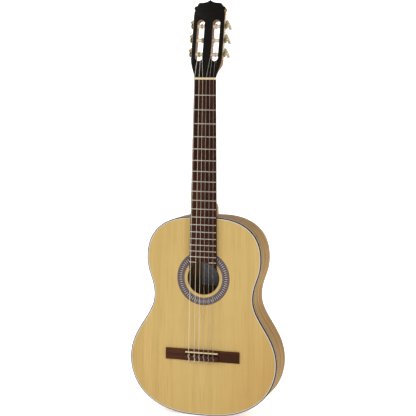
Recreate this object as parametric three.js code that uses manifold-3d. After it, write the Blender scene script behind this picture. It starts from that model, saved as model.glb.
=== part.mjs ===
// A six-string classical guitar, standing upright on its tail.
// Millimetres. +Z runs from the tail to the head, -Y is the front, +X is the treble side.
// The origin is the centre of the flat tail face.
import * as THREE from "three";
import { mergeVertices } from "three/addons/utils/BufferGeometryUtils.js";
import Module from "manifold-3d";

const wasm = await Module();
wasm.setup();

// ---- driving dimensions -------------------------------------------------------------------

const GAP = 0.3; // between pieces that touch
const FIT = 0.35; // running clearance round a shaft

const SCALE = 650; // nut to saddle
const FRETS = 19;
const NUT_Z = 806.5; // fingerboard side of the nut
const SADDLE_Z = NUT_Z - SCALE - 1.2;
const STRINGS = 6;

// body
const BODY_LENGTH = 481;
const DEPTH_TAIL = 100;
const DEPTH_NECK = 90;
const FRONT_Y = -DEPTH_TAIL / 2; // front of the soundboard
const BACK_Y = DEPTH_TAIL / 2; // back at the tail
const BACK_ARCH = 4; // rise of the back across the lower bout
const UPPER_BOUT = { half: 141.5, z: 382 };
const WAIST = { half: 122.8, z: 288 };
const LOWER_BOUT = { half: 182.7, z: 133 };
const TAIL_FLAT = 12; // half width of the flat at the tail
const TOP_FLAT = 28; // half width of the flat at the neck
const CURVE_STEPS = 8; // facets in each quarter of the outline
const PLATE = 2.5; // soundboard and back
const SIDE = 2.2;
const BINDING = { width: 2.4, height: 6 };
const LINING = { inset: 2.7, width: 6, height: 14 };
const BAR_HEIGHT = 15;

// soundhole and rosette
const HOLE = { z: NUT_Z - 472, r: 39.8 };
const ROSETTE = { inner: 47, outer: 65, deep: 1.2 };

// fingerboard and nut
const BOARD = { thick: 6.5, nutHalf: 26.3, joinHalf: 31.6, endRadius: 39.6 };
const FRET = { width: 2.4, height: 1 };
const SPLIT_FRET_HALF_GAP = 16;
const NUT = { thick: 5, top: 9.6, half: 26.4 };
const NUT_SPREAD = 43.5;

// bridge and saddle
const BRIDGE = { half: 92, low: NUT_Z - 673, high: NUT_Z - 645.5, wing: 3.4 };
const TIE = { half: 41, top: 9, low: 2.2, high: 13.5, groove: 3.6, grooveEnd: 18.2, seat: 7.6 };
const SADDLE = { half: 40, thick: 2.8, top: 12, floor: 2.4 }; // floor: wood left under its slot
const SADDLE_SPREAD = 58;
const SIXTH_OUT = 2.4; // the sixth string lies this much outside the even spread of the others
const TIE_HOLE = { r: 1.2, height: 5 };

// strings, from the bass (6) to the treble (1)
const STRING_RADIUS = [0.56, 0.46, 0.38, 0.51, 0.42, 0.36];
const STRING_SIDES = 8;

// neck
const NECK = { thickNut: 15, thickHeel: 17.5, heelStart: NUT_Z - 258, capTop: 507, capHalf: 11.5 };
const HEEL_CAP = 2.6;

// head
const HEAD_ANGLE = THREE.MathUtils.degToRad(12.2);
const HEAD_START = { y: FRONT_Y - 6, z: NUT_Z + 4 }; // front of the head where it meets the nut
const HEAD = { thick: 19, plate: 2, rootHalf: 26.8, half: 37.5, straightFrom: 46, straightTo: 158 };
const HEAD_ROOT = { from: -6, to: 32 }; // where the round neck turns into the flat-sided head
const SLOT = { x: 19, half: 9, low: 41.3, high: 140 };
const RAMP = { from: 26, deep: 3.4 }; // cut towards each slot, so deep where it meets the slot

// machine heads
const TUNER = {
  first: 57.7,
  pitch: 34,
  depth: 8, // roller axis below the face of the head
  offset: 8, // worm axis above the roller axis
  teeth: 15,
};
const ROLLER = { r: 5, inner: 5.6, spindle: 2.2 };
const GEAR = { thick: 3, tip: 6.15, root: 4.85, bore: 2.55 };
const SIDE_PLATE = { low: 45, high: 160, thick: 1.2, front: 2.2, back: 15.6 };
const LUG = { half: 3, out: 7.8, thick: 1.2, front: 1.2, back: 13.6 };
const WORM = { shaft: 1.5, root: 1.75, tip: 2.85, from: 3.3, to: 12.7, end: 25 };
const BUTTON = { stem: 3.1, from: 15.4, waist: 19.6, length: 16, lobe: 13.2, thick: 7 };
const BUTTON_TURN = THREE.MathUtils.degToRad(26);

// ---- geometry helpers ---------------------------------------------------------------------

function solid(geometry) {
  const bare = geometry.index ? geometry.toNonIndexed() : geometry.clone();
  bare.deleteAttribute("normal");
  bare.deleteAttribute("uv");
  const merged = mergeVertices(bare, 1e-4);
  const { Manifold, Mesh } = wasm;
  const vertProperties = merged.attributes.position.array;
  const triVerts = new Uint32Array(merged.index.array);
  return new Manifold(new Mesh({ numProp: 3, vertProperties, triVerts }));
}

function geometryOf(manifold) {
  const mesh = manifold.getMesh();
  const positions = new Float32Array(mesh.numVert * 3);
  for (let i = 0; i < mesh.numVert; i++) {
    const from = i * mesh.numProp;
    positions.set(mesh.vertProperties.subarray(from, from + 3), i * 3);
  }
  const geometry = new THREE.BufferGeometry();
  geometry.setAttribute("position", new THREE.BufferAttribute(positions, 3));
  geometry.setIndex(new THREE.BufferAttribute(mesh.triVerts, 1));
  const flat = geometry.toNonIndexed();
  flat.computeVertexNormals();
  return flat;
}

function cut(base, ...tools) {
  return tools.reduce((left, tool) => left.subtract(tool), base);
}

function join(...parts) {
  return parts.reduce((all, part) => all.add(part));
}

function shapeOf(points, ...holes) {
  const shape = new THREE.Shape(points);
  holes.forEach((hole) => shape.holes.push(new THREE.Path(hole)));
  return shape;
}

// A shape drawn in X and Z, made solid from one Y to another.
function slab(shape, fromY, toY) {
  const options = { depth: toY - fromY, bevelEnabled: false, curveSegments: 6 };
  const geometry = new THREE.ExtrudeGeometry(shape, options);
  return solid(geometry.rotateX(Math.PI / 2).translate(0, toY, 0));
}

// A shape drawn in Y and Z, made solid from one X to another.
function profile(shape, fromX, toX) {
  const options = { depth: toX - fromX, bevelEnabled: false, curveSegments: 6 };
  const geometry = new THREE.ExtrudeGeometry(shape, options);
  const turn = new THREE.Matrix4().set(0, 0, 1, fromX, 1, 0, 0, 0, 0, 1, 0, 0, 0, 0, 0, 1);
  return solid(geometry.applyMatrix4(turn));
}

function block(x, y, z) {
  const size = [x[1] - x[0], y[1] - y[0], z[1] - z[0]];
  const geometry = new THREE.BoxGeometry(...size);
  return solid(geometry.translate((x[0] + x[1]) / 2, (y[0] + y[1]) / 2, (z[0] + z[1]) / 2));
}

function circle(x, z, r, steps = 32) {
  const points = [];
  for (let i = 0; i < steps; i++) {
    const a = (i * 2 * Math.PI) / steps;
    points.push(new THREE.Vector2(x + r * Math.cos(a), z + r * Math.sin(a)));
  }
  return points;
}

// A cylinder along X, centred on (y, z).
function pinX(fromX, toX, y, z, r, sides = 16) {
  const geometry = new THREE.CylinderGeometry(r, r, toX - fromX, sides);
  return solid(geometry.rotateZ(-Math.PI / 2).translate((fromX + toX) / 2, y, z));
}

// A cylinder along Y, centred on (x, z).
function pinY(fromY, toY, x, z, r, sides = 12) {
  const geometry = new THREE.CylinderGeometry(r, r, toY - fromY, sides);
  return solid(geometry.translate(x, (fromY + toY) / 2, z));
}

// A closed skin through a row of sections that hold the same number of points.
function loft(sections) {
  const count = sections[0].length;
  const points = sections.flat();
  const index = [];
  for (let s = 0; s + 1 < sections.length; s++) {
    for (let i = 0; i < count; i++) {
      const a = s * count + i;
      const b = s * count + ((i + 1) % count);
      index.push(a, b, b + count, a, b + count, a + count);
    }
  }
  const last = (sections.length - 1) * count;
  for (const [a, b, c] of capTriangles(count)) {
    index.push(a, c, b);
    index.push(last + a, last + b, last + c);
  }
  const geometry = new THREE.BufferGeometry().setFromPoints(points);
  geometry.setIndex(index);
  const made = solid(geometry);
  if (made.volume() < 0) {
    throw new Error("a loft is inside out");
  }
  return made;
}

// Triangles of a flat section with an even number of points, as a strip from its ends inwards.
function capTriangles(count) {
  const faces = [];
  for (let i = 0; i < count / 2 - 1; i++) {
    const mate = count - 1 - i;
    faces.push([i, i + 1, mate - 1], [i, mate - 1, mate]);
  }
  return faces;
}

// A rod of constant radius through a list of points, mitred where it bends.
function rod(points, radius, sides) {
  const across = new THREE.Vector3(1, 0, 0);
  const sections = points.map((point, i) => {
    const before = points[Math.max(i - 1, 0)];
    const after = points[Math.min(i + 1, points.length - 1)];
    const along = new THREE.Vector3().subVectors(after, before).normalize();
    const up = new THREE.Vector3().crossVectors(along, across).normalize();
    const side = new THREE.Vector3().crossVectors(up, along);
    const ring = [];
    for (let k = 0; k < sides; k++) {
      const a = (k * 2 * Math.PI) / sides;
      const out = side.clone().multiplyScalar(radius * Math.cos(a));
      ring.push(point.clone().add(out.addScaledVector(up, radius * Math.sin(a))));
    }
    return ring;
  });
  return loft(sections);
}

function mirrored(right) {
  const left = right.map((p) => new THREE.Vector2(-p.x, p.y)).reverse();
  return right.concat(left.filter((p) => Math.abs(p.x) > 1e-6));
}

// ---- materials ----------------------------------------------------------------------------

function material(color, roughness, metalness = 0) {
  return () => new THREE.MeshStandardMaterial({ color, roughness, metalness });
}

const spruce = material(0xdcb877, 0.4);
const rosewood = material(0x3b2018, 0.55);
const walnut = material(0x8a6a48, 0.4);
const mahogany = material(0x9c6b41, 0.45);
const ebonised = material(0x1c1814, 0.4);
const darkWood = material(0x241a16, 0.4);
const mosaic = material(0x6d626a, 0.5);
const rawWood = material(0xc9a678, 0.8);
const paper = material(0x8f8e96, 0.9);
const bone = material(0xe2d3a6, 0.4);
const gold = material(0xc9a24a, 0.3, 1);
const steel = material(0xb8b8bc, 0.3, 1);
const pearl = material(0xe6dcc0, 0.25);
const nylonRoller = material(0xe4d7b4, 0.4);
const clearNylon = material(0xdedbd2, 0.25);
const woundWire = material(0xc8b79a, 0.3, 1);

const guitar = new THREE.Group();

function piece(name, shape, finish, parent = guitar) {
  const mesh = new THREE.Mesh(geometryOf(shape), finish());
  mesh.name = name;
  parent.add(mesh);
  return mesh;
}

// ---- body ---------------------------------------------------------------------------------

// The right half of the body's outline, from the tail to the neck.
function outlineCurves() {
  const at = (x, z) => new THREE.Vector2(x, z);
  const lower = at(LOWER_BOUT.half, LOWER_BOUT.z);
  const waist = at(WAIST.half, WAIST.z);
  const upper = at(UPPER_BOUT.half, UPPER_BOUT.z);
  const tail = at(TAIL_FLAT, 0);
  const top = at(TOP_FLAT, BODY_LENGTH);
  const curve = (a, b, c, d) => new THREE.CubicBezierCurve(a, b, c, d);
  return [
    curve(tail, at(TAIL_FLAT + 128, 0), at(lower.x, lower.y - 60), lower),
    curve(lower, at(lower.x, lower.y + 71), at(waist.x, waist.y - 50), waist),
    curve(waist, at(waist.x, waist.y + 40), at(upper.x, upper.y - 43), upper),
    curve(upper, at(upper.x, upper.y + 79), at(TOP_FLAT + 50, top.y), top),
  ];
}

// The whole outline, moved inwards by an inset.
function outline(inset) {
  const right = [];
  outlineCurves().forEach((curve, number) => {
    for (let i = number ? 1 : 0; i <= CURVE_STEPS; i++) {
      const t = i / CURVE_STEPS;
      const along = curve.getTangent(t);
      const inward = new THREE.Vector2(-along.y, along.x);
      right.push(curve.getPoint(t).addScaledVector(inward, inset));
    }
  });
  return mirrored(right);
}

function plate(inset, fromY, toY) {
  return slab(shapeOf(outline(inset)), fromY, toY);
}

function ring(outer, inner, fromY, toY) {
  return slab(shapeOf(outline(outer), outline(inner)), fromY, toY);
}

// The space between two surfaces that follow the arched, tapering back at two depths inside it.
function underBack(from, to) {
  const reach = LOWER_BOUT.half + 8;
  const facets = 13;
  const row = (depth) => {
    const points = [];
    for (let i = 0; i <= facets; i++) {
      const x = reach * ((2 * i) / facets - 1);
      const drop = BACK_ARCH * (x / LOWER_BOUT.half) ** 2;
      points.push(new THREE.Vector2(x, BACK_Y - drop - depth));
    }
    return points;
  };
  const shape = shapeOf(row(to).concat(row(from).reverse()));
  const options = { depth: BODY_LENGTH + 20, bevelEnabled: false };
  const geometry = new THREE.ExtrudeGeometry(shape, options).translate(0, 0, -10);
  const taper = (DEPTH_TAIL - DEPTH_NECK) / BODY_LENGTH;
  const shear = new THREE.Matrix4().set(1, 0, 0, 0, 0, 1, -taper, 0, 0, 0, 1, 0, 0, 0, 0, 1);
  return solid(geometry.applyMatrix4(shear));
}

const FAR = 400;
const INSIDE = FRONT_Y + PLATE + GAP; // first free depth under the soundboard
const BARS_INSET = LINING.inset + LINING.width + GAP;

function soundboard() {
  const grooveOut = shapeOf(
    circle(0, HOLE.z, ROSETTE.outer + GAP, 40),
    circle(0, HOLE.z, ROSETTE.inner - GAP, 40),
  );
  const hole = shapeOf(circle(0, HOLE.z, HOLE.r, 40));
  const groove = slab(grooveOut, FRONT_Y - 1, FRONT_Y + ROSETTE.deep + GAP);
  const board = plate(BINDING.width + GAP, FRONT_Y, FRONT_Y + PLATE);
  return cut(board, slab(hole, FRONT_Y - 1, FRONT_Y + 5), groove);
}

function rosette() {
  const outer = circle(0, HOLE.z, ROSETTE.outer, 40);
  const inner = circle(0, HOLE.z, ROSETTE.inner, 40);
  return slab(shapeOf(outer, inner), FRONT_Y, FRONT_Y + ROSETTE.deep);
}

function back() {
  return plate(BINDING.width + GAP, 0, FAR).intersect(underBack(0, PLATE));
}

function bindingBack() {
  return ring(0, BINDING.width, 0, FAR).intersect(underBack(0, BINDING.height));
}

function bindingTop() {
  return ring(0, BINDING.width, FRONT_Y, FRONT_Y + BINDING.height);
}

function rim() {
  const front = FRONT_Y + BINDING.height + GAP;
  return ring(0, SIDE, front, FAR).intersect(underBack(BINDING.height + GAP, DEPTH_TAIL + 20));
}

function side(sign) {
  const across = sign > 0 ? [GAP / 2, FAR] : [-FAR, -GAP / 2];
  const half = block(across, [-FAR, FAR], [-FAR, 2 * FAR]);
  return cut(rim().intersect(half), graftPlace(TAIL_FLAT + GAP));
}

// The strip of the tail that the end graft fills, over the joint of the two sides.
function graftPlace(half) {
  return block([-half, half], [-FAR, FAR], [-SIDE, 2 * SIDE]);
}

function endGraft() {
  return rim().intersect(graftPlace(TAIL_FLAT));
}

const NECK_BLOCK = { half: 36, length: 24 };
const TAIL_BLOCK = { half: 34, length: 15 };
const BLOCK_START = SIDE + 0.5; // from the outline to a block

function neckBlockBox(spare) {
  const half = NECK_BLOCK.half + spare;
  const top = BODY_LENGTH - BLOCK_START;
  return block([-half, half], [-FAR, FAR], [top - NECK_BLOCK.length - spare, top + 10]);
}

function inner(inset) {
  return plate(inset, INSIDE, FAR).intersect(underBack(PLATE + GAP, DEPTH_TAIL + 20));
}

function neckBlock() {
  return inner(BLOCK_START).intersect(neckBlockBox(0));
}

function liningTop() {
  const outer = LINING.inset;
  const strip = ring(outer, outer + LINING.width, INSIDE, INSIDE + LINING.height);
  return cut(strip, neckBlockBox(GAP));
}

function liningBack() {
  const outer = LINING.inset;
  const depth = PLATE + GAP;
  const strip = ring(outer, outer + LINING.width, 0, FAR);
  return cut(strip.intersect(underBack(depth, depth + LINING.height)), neckBlockBox(GAP));
}

function tailBlock() {
  const { half, length } = TAIL_BLOCK;
  const box = block([-half, half], [-FAR, FAR], [0, BLOCK_START + length]);
  const rebate = ring(-1, BARS_INSET, FRONT_Y, INSIDE + LINING.height + GAP);
  const backDepth = PLATE + LINING.height + 2 * GAP;
  const backRebate = ring(-1, BARS_INSET, 0, FAR).intersect(underBack(0, backDepth));
  return cut(inner(BLOCK_START).intersect(box), rebate, backRebate);
}

// A bar glued across the inside of the soundboard.
function topBar(z, thick) {
  const span = plate(BARS_INSET, INSIDE, INSIDE + BAR_HEIGHT);
  return span.intersect(block([-FAR, FAR], [-FAR, FAR], [z - thick / 2, z + thick / 2]));
}

// A bar glued across the inside of the back.
function backBar(z, thick) {
  const depth = PLATE + GAP;
  const span = plate(BARS_INSET, 0, FAR).intersect(underBack(depth, depth + BAR_HEIGHT));
  return span.intersect(block([-FAR, FAR], [-FAR, FAR], [z - thick / 2, z + thick / 2]));
}

const UPPER_BAR_Z = HOLE.z + 62;
const LOWER_BAR_Z = HOLE.z - 62;
const BACK_BARS = [398, 268, 132];
const BAR_THICK = 7;

// Seven struts that fan out from below the soundhole, tied by the patch under the bridge.
function fanBracing() {
  const struts = 7;
  const high = LOWER_BAR_Z - BAR_THICK / 2 - GAP - 2;
  const low = 45;
  const strutHeight = 5;
  const patchHalf = BRIDGE.half + 4;
  const patchZ = [BRIDGE.low - 2, BRIDGE.high + 2];
  let fan = block([-patchHalf, patchHalf], [INSIDE, INSIDE + 2.2], patchZ);
  for (let i = 0; i < struts; i++) {
    const place = i - (struts - 1) / 2;
    const top = new THREE.Vector2(place * 17, high);
    const bottom = new THREE.Vector2(place * 37, low + 2 * place * place);
    const across = new THREE.Vector2(3, 0);
    const strut = [
      bottom.clone().sub(across),
      bottom.clone().add(across),
      top.clone().add(across),
      top.clone().sub(across),
    ];
    fan = fan.add(slab(shapeOf(strut), INSIDE, INSIDE + strutHeight));
  }
  return fan.intersect(plate(BARS_INSET, -FAR, FAR));
}

// The strip along the joint of the back, between its middle bar and its lower bar.
function backStrip() {
  const half = 9;
  const depth = PLATE + GAP;
  const [, middleBar, lowerBar] = BACK_BARS;
  const low = lowerBar + BAR_THICK / 2 + GAP;
  const high = middleBar - BAR_THICK / 2 - GAP;
  return block([-half, half], [0, FAR], [low, high]).intersect(underBack(depth, depth + 2.5));
}

// The paper label, glued to the back under the soundhole.
function label() {
  const depth = PLATE + GAP;
  const half = 30;
  const sheet = block([-half, half], [0, FAR], [HOLE.z - 30, HOLE.z + 56]);
  return sheet.intersect(underBack(depth, depth + 0.6));
}

function buildBody() {
  piece("soundboard", soundboard(), spruce);
  piece("rosette", rosette(), mosaic);
  piece("back", back(), walnut);
  piece("side_bass", side(-1), walnut);
  piece("side_treble", side(1), walnut);
  piece("binding_top", bindingTop(), darkWood);
  piece("binding_back", bindingBack(), walnut);
  piece("end_graft", endGraft(), darkWood);
  piece("neck_block", neckBlock(), rawWood);
  piece("tail_block", tailBlock(), rawWood);
  piece("lining_top", liningTop(), rawWood);
  piece("lining_back", liningBack(), rawWood);
  piece("upper_bar", topBar(UPPER_BAR_Z, BAR_THICK), rawWood);
  piece("lower_bar", topBar(LOWER_BAR_Z, BAR_THICK), rawWood);
  piece("fan_bracing", fanBracing(), rawWood);
  BACK_BARS.forEach((z, i) => piece(`back_bar_${i + 1}`, backBar(z, BAR_THICK), rawWood));
  piece("back_strip", backStrip(), rawWood);
  piece("label", label(), paper);
}

// ---- neck and head ------------------------------------------------------------------------

const headFrame = new THREE.Group();
headFrame.position.set(0, HEAD_START.y, HEAD_START.z);
headFrame.rotation.x = -HEAD_ANGLE;
headFrame.updateMatrix();
guitar.add(headFrame);

// A solid drawn in the head's own frame (Y into the head, Z along it), placed on the guitar.
function onHead(shape) {
  return shape.transform(headFrame.matrix.elements);
}

// Half of a section: front corner, round the back, to the middle of the back.
// Boxiness 0 is a half ellipse and 1 a rectangle whose width follows the heel's taper.
function halfSection(half, front, depth, boxiness, taper) {
  const steps = 6;
  const points = [];
  for (let i = 0; i <= steps; i++) {
    const a = (i * Math.PI) / 2 / steps;
    const y = depth * Math.sin(a);
    const width = half * (1 - taper * Math.min(1, y / DEPTH_NECK));
    points.push(new THREE.Vector2(width * (Math.cos(a) * (1 - boxiness) + boxiness), front + y));
  }
  return points;
}

function section(z, half, front, depth, boxiness, taper) {
  const right = halfSection(half, front, depth, boxiness, taper);
  return mirrored(right).map((p) => new THREE.Vector3(p.x, p.y, z));
}

function neckHalfWidth(z) {
  const joinZ = NUT_Z - SCALE / 2;
  return THREE.MathUtils.mapLinear(z, NUT_Z, joinZ, BOARD.nutHalf, BOARD.joinHalf);
}

// The shaft of the neck, from the heel to the nut.
function neckShaft() {
  const heelDepth = DEPTH_NECK - HEEL_CAP - GAP;
  const taper = 1 - NECK.capHalf / BOARD.joinHalf;
  const start = BODY_LENGTH + GAP;
  const round = 0.04; // boxiness of the shaft
  const sections = [
    section(start, neckHalfWidth(start), FRONT_Y, heelDepth, 1, taper),
    section(NECK.capTop - 4, neckHalfWidth(start), FRONT_Y, heelDepth, 0.85, taper),
  ];
  const steps = 7;
  for (let i = steps; i >= 0; i--) {
    const a = (i * Math.PI) / 2 / steps;
    const z = NECK.heelStart - (NECK.heelStart - NECK.capTop) * Math.sin(a);
    const depth = NECK.thickHeel + (heelDepth - NECK.thickHeel) * (1 - Math.cos(a));
    const boxiness = round + 0.6 * (1 - Math.cos(a));
    sections.push(section(z, neckHalfWidth(z), FRONT_Y, depth, boxiness, taper));
  }
  const nutEnd = NUT_Z + NUT.thick;
  sections.push(section(nutEnd, BOARD.nutHalf, FRONT_Y, NECK.thickNut, round, taper));
  return loft(sections);
}

function headCurve() {
  const { rootHalf, half, straightFrom } = HEAD;
  const at = (x, s) => new THREE.Vector2(x, s);
  const start = at(rootHalf, 0);
  const end = at(half, straightFrom);
  return new THREE.CubicBezierCurve(start, at(rootHalf, 12), at(half, straightFrom - 18), end);
}

// The crest of the head, from the top of the straight side to the point in the middle.
function headCrest() {
  const base = HEAD.straightTo;
  const crest = new THREE.Path();
  crest.moveTo(HEAD.half, base);
  crest.quadraticCurveTo(35.8, base + 2.5, 36, base + 5);
  crest.quadraticCurveTo(38.6, base + 7.5, 37.8, base + 11);
  crest.quadraticCurveTo(37.2, base + 14.4, 33.6, base + 14.6);
  crest.lineTo(30.6, base + 15.2);
  crest.quadraticCurveTo(30, base + 18.4, 28.9, base + 20.2);
  crest.quadraticCurveTo(27.6, base + 22.8, 24.5, base + 23);
  crest.quadraticCurveTo(12, base + 23.2, 7.6, base + 25.2);
  crest.quadraticCurveTo(4, base + 26.8, 0, base + 30.2);
  return crest.getPoints(3);
}

function headOutline(from) {
  const root = headCurve()
    .getPoints(8)
    .filter((p) => p.y > from + 1);
  const first = headCurve().getPoints(60).find((p) => p.y >= from);
  return mirrored([new THREE.Vector2(first.x, from), ...root, ...headCrest()]);
}

function slotShape(sign) {
  const { x, half, low, high } = SLOT;
  const shape = new THREE.Shape();
  shape.absarc(sign * x, low + half, half, Math.PI, 2 * Math.PI);
  shape.absarc(sign * x, high - half, half, 0, Math.PI);
  return shape;
}

// What the slots, the ramps below them and the roller holes take out of the head.
function headCuts() {
  const cuts = [];
  for (const sign of [-1, 1]) {
    const middle = sign * SLOT.x;
    const half = SLOT.half - 0.5;
    const point = (y, z) => new THREE.Vector2(y, z);
    const run = SLOT.low + SLOT.half - RAMP.from;
    const deep = RAMP.deep * (run / (SLOT.low - RAMP.from));
    const ramp = shapeOf([
      point(0, RAMP.from),
      point(deep, RAMP.from + run),
      point(-1, RAMP.from + run),
      point(-1, RAMP.from),
    ]);
    cuts.push(slab(slotShape(sign), -1, HEAD.thick + 1));
    cuts.push(profile(ramp, middle - half, middle + half));
  }
  return cuts;
}

function rollerPlaces() {
  return [0, 1, 2].map((i) => TUNER.first + i * TUNER.pitch);
}

function rollerHoles() {
  const holes = [];
  for (const s of rollerPlaces()) {
    const r = ROLLER.r + FIT;
    const inner = ROLLER.inner - GAP;
    holes.push(pinX(inner, HEAD.half + 2, TUNER.depth, s, r, 12));
    holes.push(pinX(-HEAD.half - 2, -inner, TUNER.depth, s, r, 12));
  }
  return holes;
}

// The root of the head, from the round section at the nut to the flat-sided head.
function headRoot() {
  const front = HEAD.plate + GAP;
  const depth = HEAD.thick - front;
  const { from, to } = HEAD_ROOT;
  const steps = 6;
  const sections = [];
  for (let i = 0; i <= steps; i++) {
    const s = from + ((to - from) * i) / steps;
    const share = i / steps;
    const boxiness = share * share * (3 - 2 * share);
    const near = headCurve().getPoints(60).find((p) => p.y >= s) || { x: HEAD.rootHalf };
    sections.push(section(s, near.x, front, depth, Math.max(0.06, boxiness), 0));
  }
  return loft(sections);
}

function neck() {
  const front = HEAD.plate + GAP;
  const flat = slab(shapeOf(headOutline(HEAD_ROOT.to - GAP)), front, HEAD.thick);
  const head = cut(join(headRoot(), flat), ...headCuts(), ...rollerHoles());
  const nutSpace = block([-60, 60], [-FAR, FRONT_Y], [0, NUT_Z + NUT.thick + GAP]);
  const placed = cut(onHead(head), nutSpace);
  return join(neckShaft(), placed);
}

function headPlate() {
  const rise = NUT_Z + NUT.thick + GAP - HEAD_START.z;
  const start = (rise + HEAD.plate * Math.sin(HEAD_ANGLE)) / Math.cos(HEAD_ANGLE);
  return cut(slab(shapeOf(headOutline(start)), 0, HEAD.plate), ...headCuts());
}

function heelCap() {
  const depth = DEPTH_NECK + FRONT_Y;
  const half = NECK.capHalf;
  const shape = new THREE.Shape();
  shape.moveTo(-half, BODY_LENGTH + GAP);
  shape.lineTo(half, BODY_LENGTH + GAP);
  shape.lineTo(half * 0.92, NECK.capTop - 12);
  shape.quadraticCurveTo(half * 0.8, NECK.capTop - 1, 0, NECK.capTop);
  shape.quadraticCurveTo(-half * 0.8, NECK.capTop - 1, -half * 0.92, NECK.capTop - 12);
  return slab(shape, depth - HEEL_CAP, depth);
}

function fretZ(number) {
  return NUT_Z - SCALE * (1 - 2 ** (-number / 12));
}

// The fingerboard with its frets.
function fingerboard() {
  const near = NUT_Z - GAP;
  const far = HOLE.z + 20;
  const low = neckHalfWidth(far);
  const high = neckHalfWidth(near);
  const point = (x, z) => new THREE.Vector2(x, z);
  const shape = shapeOf([point(-low, far), point(low, far), point(high, near), point(-high, near)]);
  const top = FRONT_Y - GAP - BOARD.thick;
  const end = slab(shapeOf(circle(0, HOLE.z, BOARD.endRadius, 48)), -FAR, FAR);
  let board = slab(shape, top, FRONT_Y - GAP);
  for (let n = 1; n <= FRETS; n++) {
    const z = fretZ(n);
    const half = neckHalfWidth(z) - 0.2;
    const { width, height } = FRET;
    const crown = shapeOf([
      point(top + 0.5, z - width / 2),
      point(top + 0.5, z + width / 2),
      point(top - height, z + width / 5),
      point(top - height, z - width / 5),
    ]);
    board = board.add(profile(crown, -half, half));
  }
  const gap = SPLIT_FRET_HALF_GAP;
  const lastZ = fretZ(FRETS);
  const missing = block([-gap, gap], [-FAR, top], [lastZ - 4, lastZ + 4]);
  return cut(board, end, missing);
}

// ---- bridge, saddle, nut and strings ------------------------------------------------------

// Where string number i (0 on the bass side) crosses a line on which the strings spread so wide.
function stringX(i, spread) {
  const even = spread * (i / (STRINGS - 1) - 0.5);
  return i === 0 ? even - SIXTH_OUT : even;
}

function bridge() {
  const { low, high } = BRIDGE;
  const front = FRONT_Y - GAP;
  const point = (height, z) => new THREE.Vector2(front - height, low + z);
  const deep = high - low;
  const middle = shapeOf([
    point(0, 0),
    point(4.5, 0),
    point(TIE.top, TIE.low),
    point(TIE.top, TIE.high),
    point(TIE.groove, TIE.high),
    point(TIE.groove, TIE.grooveEnd),
    point(TIE.seat, TIE.grooveEnd + 0.6),
    point(TIE.seat, deep - 2.2),
    point(4, deep),
    point(0, deep),
  ]);
  const wing = shapeOf([
    point(0, 0),
    point(BRIDGE.wing - 1, 0),
    point(BRIDGE.wing, 2),
    point(BRIDGE.wing, deep - 2),
    point(BRIDGE.wing - 1, deep),
    point(0, deep),
  ]);
  const slotHalf = SADDLE.thick / 2 + GAP;
  const slotReach = SADDLE.half + GAP;
  const slotZ = [SADDLE_Z - slotHalf, SADDLE_Z + slotHalf];
  const seat = block([-slotReach, slotReach], [-FAR, front - SADDLE.floor], slotZ);
  const holes = [];
  for (let i = 0; i < STRINGS; i++) {
    const x = stringX(i, SADDLE_SPREAD);
    const hole = new THREE.CylinderGeometry(TIE_HOLE.r, TIE_HOLE.r, 20, 8).rotateX(Math.PI / 2);
    holes.push(solid(hole.translate(x, FRONT_Y - TIE_HOLE.height, low + 5)));
  }
  const body = join(profile(middle, -TIE.half, TIE.half), profile(wing, -BRIDGE.half, BRIDGE.half));
  return cut(body, seat, ...holes);
}

function saddle() {
  const half = SADDLE.thick / 2;
  const front = FRONT_Y - GAP - SADDLE.floor - GAP;
  const top = FRONT_Y - SADDLE.top;
  const point = (y, z) => new THREE.Vector2(y, SADDLE_Z + z);
  const shape = shapeOf([
    point(front, -half),
    point(top + 1, -half),
    point(top, -half * 0.3),
    point(top, half * 0.5),
    point(top + 1.4, half),
    point(front, half),
  ]);
  return profile(shape, -SADDLE.half, SADDLE.half);
}

// Height of a string's underside above the soundboard where it crosses the nut and the saddle.
const NUT_SEAT = 8.6;
const SADDLE_SEAT = SADDLE.top + GAP;

function nut() {
  const top = FRONT_Y - NUT.top;
  const bottom = FRONT_Y - GAP;
  const z = [NUT_Z, NUT_Z + NUT.thick];
  const body = block([-NUT.half, NUT.half], [top, bottom], z);
  const grooves = [];
  for (let i = 0; i < STRINGS; i++) {
    const x = stringX(i, NUT_SPREAD);
    const half = STRING_RADIUS[i] + GAP;
    grooves.push(block([x - half, x + half], [top - 1, FRONT_Y - NUT_SEAT + GAP], [z[0] - 1, z[1] + 1]));
  }
  return cut(body, ...grooves);
}

// Each string's roller, counted from the nut, and where across the head it is wound.
const STRING_ROLLER = [0, 1, 2, 2, 1, 0];
const WIND_X = [-21.75, -15.5, -19, 19, 15.5, 21.75];

// From the back of the tie block, over the saddle and the nut, to the front of the roller.
function stringPath(i) {
  const r = STRING_RADIUS[i];
  const x = stringX(i, SADDLE_SPREAD);
  const nutX = stringX(i, NUT_SPREAD);
  const at = (px, height, z) => new THREE.Vector3(px, FRONT_Y - height - r, z);
  const s = rollerPlaces()[STRING_ROLLER[i]];
  const depth = TUNER.depth - ROLLER.r - r - GAP;
  const end = new THREE.Vector3(WIND_X[i], depth, s).applyMatrix4(headFrame.matrix);
  return [
    at(x, TIE_HOLE.height - r, BRIDGE.low - 1),
    at(x, TIE_HOLE.height - r, BRIDGE.low + TIE.high + 1.4),
    at(x, SADDLE_SEAT - 0.4, SADDLE_Z - SADDLE.thick / 2 - 0.4),
    at(x, SADDLE_SEAT, SADDLE_Z),
    at(nutX, NUT_SEAT, NUT_Z),
    at(nutX, NUT_SEAT, NUT_Z + NUT.thick),
    end,
  ];
}

function buildStrings() {
  for (let i = 0; i < STRINGS; i++) {
    const number = STRINGS - i;
    const finish = number > 3 ? woundWire : clearNylon;
    piece(`string_${number}`, rod(stringPath(i), STRING_RADIUS[i], STRING_SIDES), finish);
  }
}

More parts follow.
